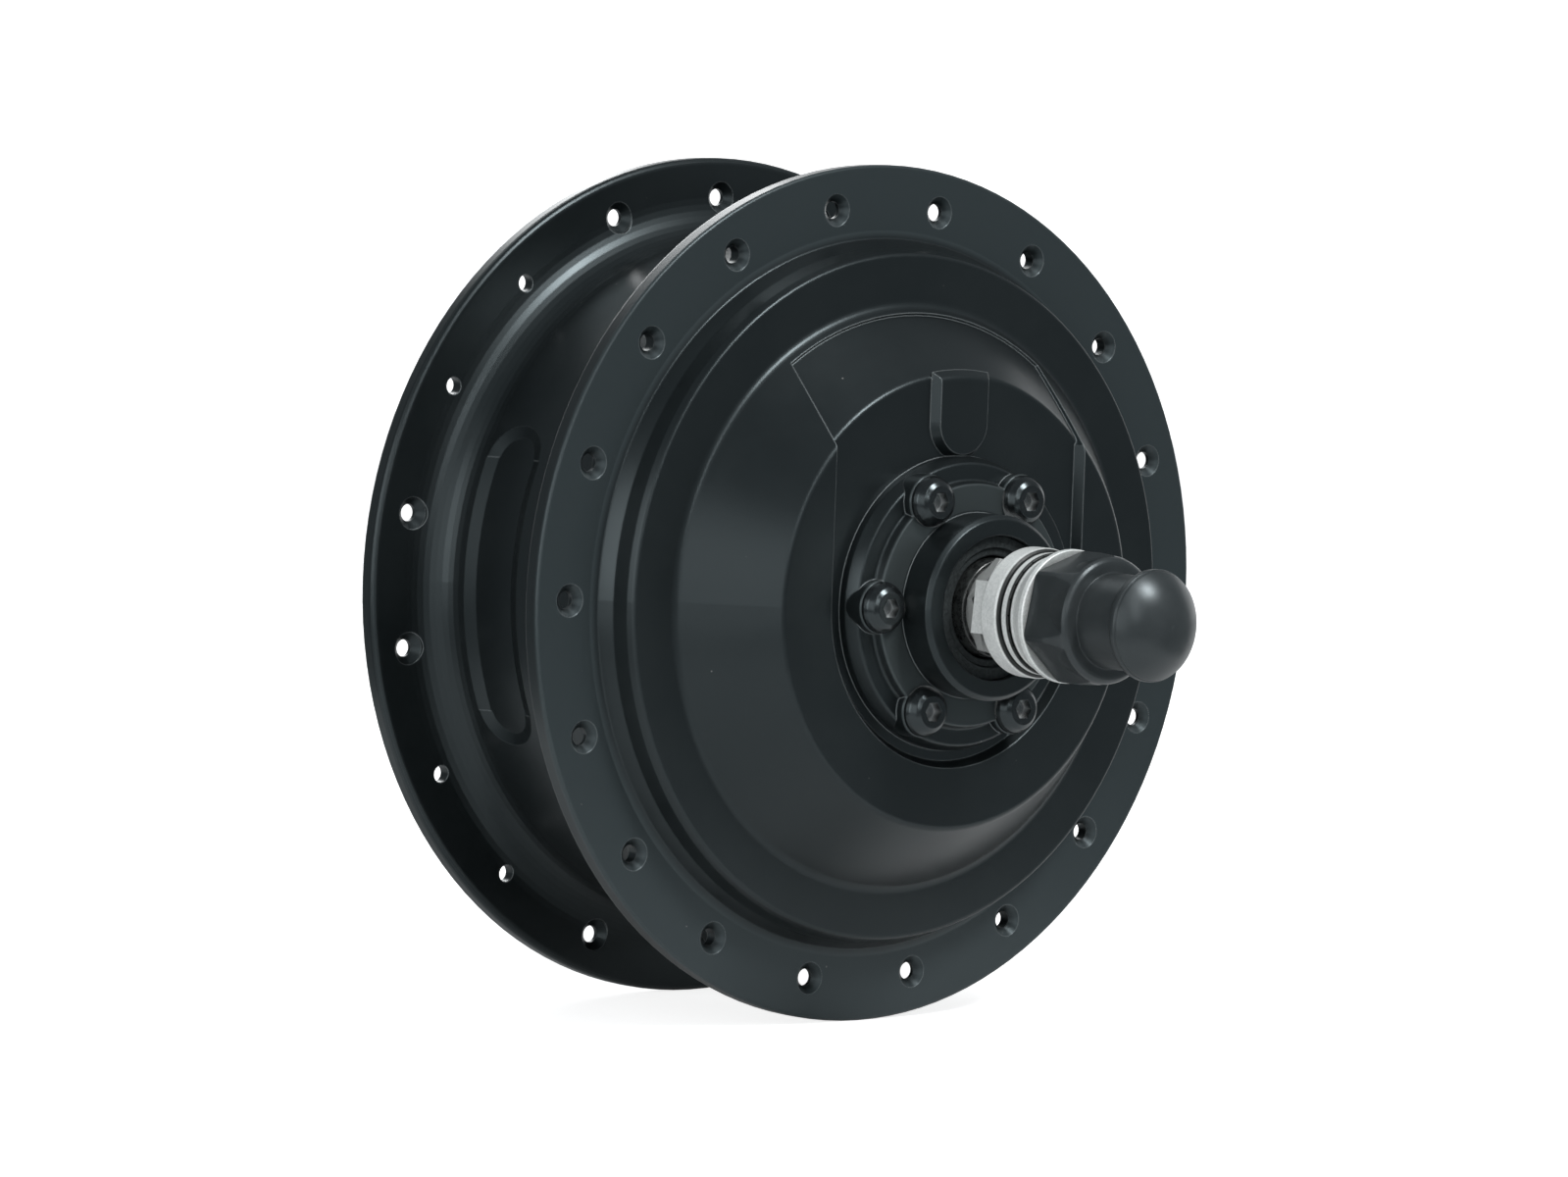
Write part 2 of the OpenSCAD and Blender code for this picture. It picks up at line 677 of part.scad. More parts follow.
module bearing_outer(bore_r, out_r, y0, w) {
    race = out_r - (out_r - bore_r) * 0.26;
    mid = (bore_r + out_r) / 2;
    ball = (out_r - bore_r) * 0.28;
    difference() {
        ring(race, out_r, y0, y0 + w, 0.3);
        translate([0, y0 + w / 2, 0])
            rotate([-90, 0, 0])
                rotate_extrude($fn = smooth)
                    translate([mid, 0])
                        circle(r = ball + 0.08, $fn = 32);
    }
}

module bearing_balls(bore_r, out_r, y0, w, count) {
    mid = (bore_r + out_r) / 2;
    ball = (out_r - bore_r) * 0.28;
    around(count, mid)
        translate([0, y0 + w / 2, 0])
            sphere(r = ball, $fn = 24);
}

module disc_bearing_inner() {
    color([0.75, 0.76, 0.78])
    bearing_inner(axle_r, disc_brg_r, disc_brg_y, disc_brg_w);
}

module disc_bearing_balls() {
    color([0.8, 0.8, 0.82])
    bearing_balls(axle_r, disc_brg_r, disc_brg_y, disc_brg_w, 8);
}

module disc_bearing_outer() {
    color([0.72, 0.73, 0.75])
    bearing_outer(axle_r, disc_brg_r, disc_brg_y, disc_brg_w);
}

module drive_bearing_inner() {
    color([0.75, 0.76, 0.78])
    bearing_inner(axle_big_r, drive_brg_r, drive_brg_y0, drive_brg_w);
}

module drive_bearing_balls() {
    color([0.8, 0.8, 0.82])
    bearing_balls(axle_big_r, drive_brg_r, drive_brg_y0, drive_brg_w, 14);
}

module drive_bearing_outer() {
    color([0.72, 0.73, 0.75])
    bearing_outer(axle_big_r, drive_brg_r, drive_brg_y0, drive_brg_w);
}

module rotor_bearing_inner() {
    color([0.75, 0.76, 0.78])
    bearing_inner(rotor_seat_r, rotor_brg_r, rotor_brg_y, rotor_brg_w);
}

module rotor_bearing_balls() {
    color([0.8, 0.8, 0.82])
    bearing_balls(rotor_seat_r, rotor_brg_r, rotor_brg_y, rotor_brg_w, 12);
}

module rotor_bearing_outer() {
    color([0.72, 0.73, 0.75])
    bearing_outer(rotor_seat_r, rotor_brg_r, rotor_brg_y, rotor_brg_w);
}

// Seals
module disc_side_seal() {
    color([0.33, 0.36, 0.33])
    turned([
        [spacer_r + run_gap, seal_y0],
        [seal_seat_r - fit, seal_y0],
        [seal_seat_r - fit, seal_end_y, 0.2],
        [seal_seat_r - 2.2, seal_end_y, 0.2],
        [seal_seat_r - 2.5, seal_end_y - 0.6],
        [spacer_r + run_gap, seal_end_y - 0.6, 0.3],
    ]);
}

module drive_side_seal() {
    color([0.1, 0.1, 0.1])
    ring(axle_big_r + run_gap, axle_big_r + 3.5 - fit, freewheel_end_y, drive_brg_y0 - 0.4, 0.2);
}

// Axle with its steps, flats, cable bore and cable slot.
module axle() {
    color([0.72, 0.73, 0.75])
    difference() {
        turned([
            [0, drive_end_y],
            [axle_r - 0.8, drive_end_y],
            [axle_r, drive_end_y + 0.8],
            [axle_r, drive_drop_y],
            [axle_big_r, drive_drop_y, 0.3],
            [axle_big_r, drive_brg_y1],
            [stator_seat_r, drive_brg_y1, 0.5],
            [stator_seat_r, stator_seat_y + 0.5, 0.3],
            [rotor_seat_r, stator_seat_y + 0.5],
            [rotor_seat_r, rotor_seat_end_y, 0.3],
            [axle_r, rotor_seat_end_y],
            [axle_r, axle_end_y - 0.8],
            [axle_r - 0.8, axle_end_y],
            [0, axle_end_y],
        ], 96);
        for (side = [-1, 1], flat_y = [drop_y, drive_drop_y - flat_l])
            rotate([0, slot_turn, 0])
                translate([side * (axle_flat_w / 2 + 5) - 5, flat_y, -15])
                    cube([10, flat_l, 30]);
        pin(cable_bore_d / 2, drive_end_y - 1, -24, 64);
        translate([-3, -34, 0])
            cube([6, 9, 14]);
        translate([-2, stator_y0 + 2, stator_seat_r - 2])
            cube([4, 14, 4]);
        ring(rotor_seat_r - 0.4, rotor_seat_r + 2, rotor_plate_y1 + 0.05, rotor_plate_y1 + 0.95);
        ring(axle_r - 0.4, axle_r + 2, clutch_race_y0 - 0.95, clutch_race_y0 - 0.05);
    }
}

module axle_circlips() {
    color([0.3, 0.3, 0.31])
    for (c = [[rotor_seat_r, rotor_plate_y1 + 0.05], [axle_r, clutch_race_y0 - 0.95]])
        difference() {
            ring(c[0] - 0.4 + fit, c[0] + 1.2, c[1] + 0.02, c[1] + 0.88);
            translate([-1.4, c[1] - 1, -c[0] - 3])
                cube([2.8, 3, 4]);
        }
}

module stator_key() {
    color([0.5, 0.51, 0.52])
    translate([-2 + fit, stator_y0 + 2 + fit, stator_seat_r - 2 + fit])
        cube([4 - 2 * fit, 14 - 2 * fit, 4 - 2 * fit]);
}

module stator_carrier() {
    color([0.6, 0.61, 0.63])
    difference() {
        union() {
            ring(stator_seat_r + fit, stator_seat_r + 6, stator_y0, stator_y1 + 2, 0.4);
            ring(stator_seat_r + 5, stator_hub_r - 1, -9, -4);
            ring(stator_hub_r - 3, stator_hub_r - fit, stator_y0 + 1, stator_y1 - 1, 0.3);
        }
        around(6, (stator_seat_r + 6 + stator_hub_r - 3) / 2, 30)
            pin(2.4, -12, 0);
        translate([-2, stator_y0 + 2, 0])
            cube([4, 14, stator_seat_r + 2]);
        translate([-2, stator_y0 - 1, 0])
            cube([4, 4, stator_seat_r + 2]);
    }
}

module tooth_outline() {
    half = 360 / stator_teeth / 2 - 1.1;
    polygon([
        [-3, stator_back_r - 3], [3, stator_back_r - 3], [3, stator_r - 3.2],
        [stator_r * sin(half) - 0.4, stator_r - 2.6 - stator_r * (1 - cos(half))],
        for (i = [0:4]) stator_r * [sin(half - i * half / 2), cos(half - i * half / 2)],
        [-stator_r * sin(half) + 0.4, stator_r - 2.6 - stator_r * (1 - cos(half))],
        [-3, stator_r - 3.2],
    ]);
}

module stator_core() {
    color([0.42, 0.43, 0.45])
    translate([0, stator_y1, 0])
        rotate([90, 0, 0])
            linear_extrude(height = stator_h)
                difference() {
                    union() {
                        circle(r = stator_back_r, $fn = 96);
                        for (k = [0:stator_teeth - 1])
                            rotate(k * 360 / stator_teeth)
                                tooth_outline();
                    }
                    circle(r = stator_hub_r, $fn = 96);
                }
}

// One coil stands around each stator tooth.
module stator_windings() {
    z0 = stator_back_r + 1.2;
    z1 = stator_r - 4.2;
    w0 = z0 * tan(180 / stator_teeth) - 0.5;
    w1 = z1 * tan(180 / stator_teeth) - 0.9;
    color([0.72, 0.36, 0.16])
    around(stator_teeth, 0)
        difference() {
            translate([0, stator_y1 + 4.2, 0])
                rotate([90, 0, 0])
                    linear_extrude(height = stator_h + 8.4)
                        polygon(rounded([[-w0, z0, 0.6], [w0, z0, 0.6], [w1, z1, 0.8], [-w1, z1, 0.8]]));
            translate([-3 - fit, stator_y0 - fit, z0 - 2])
                cube([6 + 2 * fit, stator_h + 2 * fit, z1 - z0 + 4]);
            for (s = [0, 1])
                mirror([0, s, 0])
                    translate([0, (s ? -1 : 1) * (stator_y0 + stator_y1) / 2, 0])
                        for (m = [0, 1])
                            mirror([m, 0, 0])
                                translate([w0 - 1.2, stator_h / 2 + 4.2, z0 - 2])
                                    rotate([0, 0, 35])
                                        cube([12, 12, z1 - z0 + 4]);
        }
}

module hall_board() {
    color([0.08, 0.3, 0.16])
    difference() {
        ring(stator_hub_r + 1.5, stator_back_r + 0.4, stator_y0 - 1.6, stator_y0, 0);
        around(3, (stator_hub_r + stator_back_r) / 2 + 1, 10)
            pin(1.6, stator_y0 - 3, stator_y0 + 1);
        translate([-60, stator_y0 - 3, -60])
            cube([120, 5, 46]);
    }
}

// Rotor
module rotor_bell() {
    color([0.5, 0.51, 0.53])
    difference() {
        turned([
            [rotor_brg_r + fit, rotor_brg_y, 0.3],
            [rotor_brg_r + 3, rotor_brg_y, 0.4],
            [rotor_brg_r + 3, rotor_plate_y0],
            [magnet_out_r, rotor_plate_y0],
            [magnet_out_r, rotor_y0, 0.3],
            [rotor_out_r, rotor_y0, 0.4],
            [rotor_out_r, rotor_plate_y1, 1.2],
            [rotor_brg_r + fit, rotor_plate_y1, 0.2],
        ]);
        around(6, 36, 30)
            pin(8, rotor_plate_y0 - 1, rotor_plate_y1 + 1, 64);
        around(6, sun_screw_r, 0)
            pin(1.25 + fit, rotor_brg_y - 1, rotor_plate_y1 + 1, 24);
    }
}

module rotor_magnets() {
    span = 360 / magnet_count - 1.6;
    color([0.6, 0.6, 0.62])
    for (k = [0:magnet_count - 1])
        rotate([0, k * 360 / magnet_count, 0])
            difference() {
                ring(magnet_in_r, magnet_out_r - fit, rotor_y0 + 1.5, stator_y1 + 1.5);
                for (side = [-1, 1])
                    rotate([0, side * span / 2, 0])
                        translate([side > 0 ? 0 : -80, -40, -80])
                            cube([80, 80, 160]);
                translate([-80, -40, -160])
                    cube([160, 80, 160]);
            }
}

// Involute tooth flanks. A gear profile is built from the module and the tooth count.
function involute(rb, a) = rb * [cos(a) + a * PI / 180 * sin(a), sin(a) - a * PI / 180 * cos(a)];
function involute_angle(rb, r) = sqrt(max(0, pow(r / rb, 2) - 1)) * 180 / PI;
function flank_turn(a) = tan(a) * 180 / PI - a;

// Half tooth angle at radius r, for tooth thickness s at pitch radius rp.
function half_angle(r, rp, s) =
    let (rb = rp * cos(pressure_angle), ar = r > rb ? acos(rb / r) : 0)
    s / rp / 2 * 180 / PI + flank_turn(pressure_angle) - flank_turn(ar);

// Points of one gear outline with its first tooth centred on angle 0.
function gear_points(teeth, rp, r_root, r_tip, s) =
    let (n = 4, r_start = max(r_root, rp * cos(pressure_angle) + 0.02))
    [for (k = [0:teeth - 1])
        let (c = k * 360 / teeth)
        each concat(
            [[c - half_angle(r_start, rp, s) - 0.1 * 180 / PI / rp, r_root]],
            [for (i = [0:n]) let (r = r_start + (r_tip - r_start) * i / n) [c - half_angle(r, rp, s), r]],
            [for (i = [n:-1:0]) let (r = r_start + (r_tip - r_start) * i / n) [c + half_angle(r, rp, s), r]],
            [[c + half_angle(r_start, rp, s) + 0.1 * 180 / PI / rp, r_root]]
        )];

function polar_xy(list) = [for (p = list) p[1] * [sin(p[0]), cos(p[0])]];

// Draws the outline so that angle 0 is up and it grows towards +X, as around() does.
module gear_slab(y0, y1) {
    translate([0, y1, 0])
        rotate([90, 0, 0])
            linear_extrude(height = y1 - y0)
                children();
}

tooth_s = PI * gear_module / 2 - backlash / 2;

module external_outline(teeth, rp) {
    polygon(polar_xy(gear_points(teeth, rp, rp - 1.2 * gear_module, rp + 0.95 * gear_module, tooth_s)));
}

module sun_gear() {
    color([0.62, 0.62, 0.64])
    difference() {
        union() {
            ring(rotor_seat_r + 2, sun_flange_r, rotor_plate_y1, sun_flange_y1, 0.3);
            ring(sun_bore_r, sun_r + gear_module, rotor_seat_end_y + 0.4, gear_y0 - 1, 0.3);
            ring(rotor_seat_r + 2, sun_r + gear_module, rotor_plate_y1, rotor_seat_end_y + 1.4, 0);
            gear_slab(gear_y0 - 1.2, sun_end_y)
                difference() {
                    rotate(180 / sun_teeth)
                        external_outline(sun_teeth, sun_r);
                    circle(r = sun_bore_r, $fn = 64);
                }
        }
        around(6, sun_screw_r, 0) {
            pin(1.25 + fit, rotor_brg_y - 1, sun_flange_y1 + 1, 24);
            cone_pin(1.25 + fit, 2.4 + fit, sun_flange_y1 - 1.15, sun_flange_y1 + 0.001, 32);
        }
    }
}

module sun_gear_screws() {
    color([0.12, 0.12, 0.13])
    around(6, sun_screw_r, 0)
        difference() {
            turned([[0, rotor_plate_y0 + 0.2], [1.25, rotor_plate_y0 + 0.2], [1.25, sun_flange_y1 - 1.15],
                    [2.4, sun_flange_y1 - 0.02], [0, sun_flange_y1 - 0.02]], fine);
            hex_prism(1.5, sun_flange_y1 - 0.8, sun_flange_y1 + 1);
        }
}

module sun_bush() {
    color([0.72, 0.5, 0.24])
    ring(axle_r + 0.05, sun_bore_r - fit, gear_y0 - 1, sun_end_y, 0.2, 96);
}

// The planet gears stand on three pins of the carrier.
module planet_gear(k) {
    color([0.86, 0.83, 0.74])
    rotate([0, k * 360 / planet_count, 0])
        translate([0, 0, centre_r])
            difference() {
                gear_slab(gear_y0, gear_y1)
                    difference() {
                        external_outline(planet_teeth, planet_r);
                        circle(r = planet_brg_d / 2 - 0.8, $fn = 96);
                    }
                pin(planet_brg_d / 2 + fit, gear_y0 + 2, gear_y1 + 1, 96);
                ring(planet_brg_d / 2 + 2.2, planet_r - 3.4, gear_y0 - 1, gear_y0 + 1.4);
                ring(planet_brg_d / 2 + 2.2, planet_r - 3.4, gear_y1 - 1.4, gear_y1 + 1);
            }
}

module planet_gear_1() { planet_gear(0); }
module planet_gear_2() { planet_gear(1); }
module planet_gear_3() { planet_gear(2); }

module planet_bearing(k) {
    color([0.72, 0.73, 0.75])
    rotate([0, k * 360 / planet_count, 0])
        translate([0, 0, centre_r])
            bearing_outer(planet_pin_d / 2, planet_brg_d / 2, planet_brg_y, planet_brg_w);
}

module planet_bearing_1() { planet_bearing(0); }
module planet_bearing_2() { planet_bearing(1); }
module planet_bearing_3() { planet_bearing(2); }

module planet_bearing_inners() {
    color([0.75, 0.76, 0.78])
    around(planet_count, centre_r)
        bearing_inner(planet_pin_d / 2, planet_brg_d / 2, planet_brg_y, planet_brg_w);
}

module planet_bearing_balls() {
    color([0.8, 0.8, 0.82])
    around(planet_count, centre_r)
        bearing_balls(planet_pin_d / 2, planet_brg_d / 2, planet_brg_y, planet_brg_w, 7);
}

module planet_pins() {
    color([0.66, 0.67, 0.69])
    around(planet_count, centre_r)
        turned([[0, plate_a_y0], [planet_pin_d / 2 - 0.3, plate_a_y0], [planet_pin_d / 2, plate_a_y0 + 0.3],
                [planet_pin_d / 2, plate_b_y1 - 0.3], [planet_pin_d / 2 - 0.3, plate_b_y1],
                [0, plate_b_y1]], fine);
}

module planet_spacers() {
    color([0.6, 0.6, 0.58])
    around(planet_count, centre_r) {
        ring(planet_pin_d / 2 + fit, planet_pin_d / 2 + 1.6, plate_a_y1, planet_brg_y, 0.2, fine);
        ring(planet_pin_d / 2 + fit, planet_pin_d / 2 + 1.6, planet_brg_y + planet_brg_w, plate_b_y0, 0.2, fine);
    }
}

module planet_carrier() {
    color([0.58, 0.59, 0.6])
    difference() {
        union() {
            ring(sun_r + gear_module + 1.4, carrier_r, plate_a_y0, plate_a_y1, 0.4);
            turned([
                [clutch_bore_r, plate_b_y0, 0.4],
                [carrier_r, plate_b_y0, 0.5],
                [carrier_r, plate_b_y1, 0.5],
                [clutch_bore_r + 5.6, plate_b_y1],
                [clutch_bore_r + 5.6, carrier_hub_y1, 0.6],
                [clutch_bore_r, carrier_hub_y1, 0.4],
            ]);
            around(planet_count, carrier_r - 7.5, 180 / planet_count)
                pin(6.5, plate_a_y1 - 0.5, plate_b_y0 + 0.5);
        }
        around(planet_count, centre_r)
            pin(planet_pin_d / 2 + fit, plate_a_y0 - 1, plate_b_y1 + 1);
        around(clutch_roller_count, clutch_race_r + clutch_roller_r + 0.3, 0)
            rotate([0, 6, 0])
                pin(clutch_roller_r + 0.35, plate_b_y0 + 1, carrier_hub_y1 - 1);
        around(6, 27.5, 30)
            pin(3.4, plate_b_y0 - 1, plate_b_y1 + 1);
    }
}

// One-way clutch between the carrier and the fixed axle.
module clutch_inner_race() {
    color([0.7, 0.71, 0.73])
    turned([
        [axle_r + fit, clutch_race_y0],
        [clutch_race_r, clutch_race_y0, 0.3],
        [clutch_race_r, carrier_hub_y1, 0.3],
        [axle_r + 2.8, carrier_hub_y1],
        [axle_r + 2.8, disc_brg_y, 0.2],
        [axle_r + fit, disc_brg_y],
    ]);
}

module clutch_rollers() {
    color([0.8, 0.8, 0.82])
    around(clutch_roller_count, clutch_race_r + clutch_roller_r + fit, 0)
        turned([[0, clutch_race_y0 + 0.6], [clutch_roller_r - 0.3, clutch_race_y0 + 0.6],
                [clutch_roller_r, clutch_race_y0 + 0.9], [clutch_roller_r, carrier_hub_y1 - 1.5],
                [clutch_roller_r - 0.3, carrier_hub_y1 - 1.2], [0, carrier_hub_y1 - 1.2]], 24);
}

// The ring gear turns with the shell. Its tooth gaps face the planets.
module ring_gear() {
    gap_s = PI * gear_module / 2 + backlash / 2;
    r_tip = ring_r - 0.9 * gear_module;
    r_root = ring_r + 1.25 * gear_module;
    color([0.56, 0.57, 0.58])
    difference() {
        gear_slab(ring_gear_y0, shoulder_in_y)
            difference() {
                circle(r = ring_gear_r, $fn = smooth);
                polygon(polar_xy(gear_points(ring_teeth, ring_r, r_tip, r_root, gap_s)));
            }
        around(ring_screw_count, ring_screw_r, 30) {
            pin(1.5 + fit, ring_gear_y0 - 1, shoulder_in_y + 1);
            pin(2.8, ring_gear_y0 - 1, ring_gear_y0 + 3.2);
        }
        ring(0, ring_r + 1.3 * gear_module, gear_y1 + 0.3, shoulder_in_y + 1);
    }
}

module ring_gear_screws() {
    color([0.12, 0.12, 0.13])
    around(ring_screw_count, ring_screw_r, 30)
        difference() {
            union() {
                ring(0, 2.6, ring_gear_y0 + 0.2, ring_gear_y0 + 3.2, 0, 32);
                pin(1.5, ring_gear_y0 + 3, shoulder_y - 1.4, 32);
            }
            hex_prism(2.5, ring_gear_y0 - 1, ring_gear_y0 + 1.7);
        }
}

// End hardware on the disc side
module spacer_sleeve() {
    color([0.74, 0.75, 0.77])
    ring(axle_r + fit, spacer_r, disc_brg_end_y, pilot_end_y + 0.4, 0.4);
}

module lock_nut() {
    color([0.76, 0.77, 0.79])
    difference() {
        union() {
            ring(axle_r + fit, spacer_r - 0.8, pilot_end_y + 0.4, pilot_end_y + 2);
            intersection() {
                rotate([0, lock_nut_turn, 0])
                    hex_prism(lock_nut_af, pilot_end_y + 1.5, drop_y);
                turned([[0, pilot_end_y + 1.5], [lock_nut_af / 2 - 0.1, pilot_end_y + 1.5],
                        [lock_nut_af / 2 / cos(30), pilot_end_y + 2.1],
                        [lock_nut_af / 2 / cos(30), drop_y - 0.6], [lock_nut_af / 2 - 0.1, drop_y],
                        [0, drop_y]]);
            }
        }
        pin(axle_r + fit, pilot_end_y, drop_y + 1, smooth);
    }
}

// The tab sits in the slot of the frame next to the axle and keeps the axle from turning.
module torque_washer() {
    difference() {
        turned([[0, washer_y], [torque_washer_d / 2, washer_y, 0.7], [torque_washer_d / 2, torque_y1, 0.9],
                [0, torque_y1]]);
        flatted_bore(washer_y - 1, torque_y1 + 1, 2 * fit);
    }
    rotate([0, slot_turn, 0])
        translate([-tab_w / 2, washer_y - tab_l, tab_out - tab_t])
            cube([tab_w, tab_l + 1, tab_t]);
}

module serrated_washer() {
    difference() {
        ring(axle_r + 0.1, serrated_d / 2, torque_y1, serrated_y1, 0.3);
        around(24, serrated_d / 2 + 0.25, 0)
            translate([0, serrated_y1 + 0.5, 0])
                rotate([0, 0, 45])
                    translate([-0.5, -0.5, -2.4])
                        cube([1, 1, 4]);
    }
}

module axle_nut() {
    difference() {
        union() {
            turned([[axle_r + fit, serrated_y1], [nut_flange_r - 1.4, serrated_y1, 0.2],
                    [nut_flange_r - 1.4, serrated_y1 + 1.1], [nut_flange_r, serrated_y1 + 3.9, 0.3],
                    [nut_flange_r, cap_base_y, 0.3], [axle_r + fit, cap_base_y]]);
            intersection() {
                hex_prism(nut_af, serrated_y1 + 1, nut_end_y);
                turned([[0, serrated_y1 + 1], [nut_flange_r, serrated_y1 + 1],
                        [nut_flange_r, nut_end_y - 1.6], [nut_af / 2 - 0.2, nut_end_y], [0, nut_end_y]]);
            }
        }
        pin(axle_r + fit, serrated_y1 - 1, nut_end_y + 1, smooth);
    }
}

// The cap is a hexagon that blends into a round face, a neck and a domed end.
module nut_cap_body(neck_y, tip_y, bore_end_y, tip_hole) {
    cap_out_r = nut_flange_r - 0.1;
    rim_r = 10.05;
    rim_y = tip_y - 4.7;
    dome_h = tip_y - rim_y;
    dome_r = (rim_r * rim_r + dome_h * dome_h) / (2 * dome_h);
    difference() {
        union() {
            intersection() {
                turned([[0, cap_base_y], [cap_out_r, cap_base_y, 0.4], [cap_out_r, cap_base_y + 5],
                        [cap_out_r - 0.5, neck_y, 1.6], [0, neck_y]]);
                union() {
                    gear_slab(cap_base_y, neck_y)
                        polygon(rounded([for (k = [0:5])
                            [(cap_out_r + 0.25) * sin(k * 60), (cap_out_r + 0.25) * cos(k * 60), 0.8]]));
                    cone_pin(cap_out_r - 2.4, cap_out_r - 0.4, cap_base_y, neck_y, smooth);
                }
            }
            turned([[0, neck_y - 1], [8.6, neck_y - 1], [8.6, rim_y - 1.4, 0.4],
                    [rim_r, rim_y - 1.4, 0.3], [rim_r, rim_y, 0.3], [0, rim_y]]);
            intersection() {
                translate([0, tip_y - dome_r, 0])
                    rotate([-90, 0, 0])
                        sphere(r = dome_r, $fn = 96);
                pin(rim_r - 0.3, rim_y - 0.5, tip_y + 1, smooth);
            }
        }
        hex_prism(nut_af + 0.3, cap_base_y - 1, nut_end_y + 0.4);
        pin(nut_af / 2 + 0.9, cap_base_y - 1, cap_base_y + 0.6, smooth);
        pin(cap_bore_r, cap_base_y, bore_end_y, 64);
        if (tip_hole > 0)
            pin(tip_hole, cap_base_y, tip_y + 1, 48);
    }
}

module disc_torque_washer() { color([0.78, 0.79, 0.81]) torque_washer(); }
module drive_torque_washer() { color([0.78, 0.79, 0.81]) mirror_y() torque_washer(); }
module disc_serrated_washer() { color([0.78, 0.79, 0.81]) serrated_washer(); }
module drive_serrated_washer() { color([0.78, 0.79, 0.81]) mirror_y() serrated_washer(); }
module disc_axle_nut() { color([0.78, 0.79, 0.81]) rotate([0, nut_turn, 0]) axle_nut(); }
module drive_axle_nut() { color([0.78, 0.79, 0.81]) mirror_y() rotate([0, nut_turn, 0]) axle_nut(); }
module disc_nut_cap() { color([0.05, 0.05, 0.05]) rotate([0, nut_turn, 0])
    nut_cap_body(cap_neck_y, cap_tip_y, axle_end_y + 0.2, 0); }
module drive_nut_cap() { color([0.05, 0.05, 0.05]) mirror_y() rotate([0, nut_turn, 0])
    nut_cap_body(drive_neck_y, 2 * axle_mid_y - drive_tip_y, 2 * axle_mid_y - drive_end_y + 0.2, 3.4); }

module cable_grommet() {
    color([0.09, 0.09, 0.09])
    turned([
        [2.2, drive_tip_y, 0.3],
        [3.3, drive_tip_y, 0.3],
        [3.3, drive_end_y - 0.2],
        [4.8, drive_end_y - 0.2],
        [4.8, drive_end_y],
        [cable_bore_d / 2 - fit, drive_end_y],
        [cable_bore_d / 2 - fit, drive_end_y + 7],
        [2.2, drive_end_y + 7],
    ], 64);
}

hub_shell();
side_cover();
cover_gasket();
cover_screws();
disc_screws();
ring_gear();
ring_gear_screws();
disc_bearing_outer();
drive_bearing_outer();
disc_side_seal();
drive_side_seal();
axle();
axle_circlips();
stator_key();
stator_carrier();
stator_core();
stator_windings();
hall_board();
disc_bearing_inner();
disc_bearing_balls();
drive_bearing_inner();
drive_bearing_balls();
rotor_bearing_inner();
rotor_bearing_balls();
clutch_inner_race();
clutch_rollers();
planet_carrier();
planet_pins();
planet_spacers();
planet_bearing_inners();
planet_bearing_balls();
spacer_sleeve();
lock_nut();
disc_torque_washer();
drive_torque_washer();
disc_serrated_washer();
drive_serrated_washer();
disc_axle_nut();
drive_axle_nut();
disc_nut_cap();
drive_nut_cap();
cable_grommet();
rotor_bell();
rotor_magnets();
sun_gear();
sun_gear_screws();
sun_bush();
rotor_bearing_outer();
planet_gear_1();
planet_gear_2();
planet_gear_3();
planet_bearing_1();
planet_bearing_2();
planet_bearing_3();
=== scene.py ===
import json
import math

import bpy
from mathutils import Matrix, Vector


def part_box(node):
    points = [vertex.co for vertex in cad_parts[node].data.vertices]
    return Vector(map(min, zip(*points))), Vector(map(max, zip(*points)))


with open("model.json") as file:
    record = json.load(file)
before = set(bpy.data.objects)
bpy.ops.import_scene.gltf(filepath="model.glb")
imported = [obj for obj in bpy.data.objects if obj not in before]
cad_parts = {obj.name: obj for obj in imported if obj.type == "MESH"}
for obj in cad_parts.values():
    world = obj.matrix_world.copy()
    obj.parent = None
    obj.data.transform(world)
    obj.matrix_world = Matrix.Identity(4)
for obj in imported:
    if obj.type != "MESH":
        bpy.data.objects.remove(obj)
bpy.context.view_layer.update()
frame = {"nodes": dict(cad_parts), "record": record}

NODES = frame["nodes"]

MM = 0.001

# The camera's angles, place and focal length come from the disc screws, spoke holes and flange edges
# in the photograph. Sensor width is in millimetres, photo width and focal length in the photo's pixels.
CAMERA_AZIMUTH = math.radians(139.859)
CAMERA_ELEVATION = math.radians(3.721)
CAMERA_ROLL = math.radians(2.046)
CAMERA_DISTANCE = 1338 * MM
CAMERA_SLIDE_RIGHT = -0.751 * MM
CAMERA_SLIDE_UP = -0.706 * MM
CAMERA_RANGE = 50
SENSOR_WIDTH = 36
PHOTO_WIDTH = 1599
FOCAL_LENGTH = 7257

# The stage floor's height, then half its width and its distance behind the object at three places.
FLOOR_Z = -79.5 * MM
FLOOR_FRONT = (0.17, -0.25)
FLOOR_WAIST = (0.20, 0.05)
FLOOR_END = (3.2, 2.6)
WALL_HEIGHT = 1.5

# Freewheel thread of 1.375 inch and 24 turns to the inch, on the side cover's boss.
THREAD_PITCH = 25.4 / 24 * MM
THREAD_LENGTH = 10 * MM

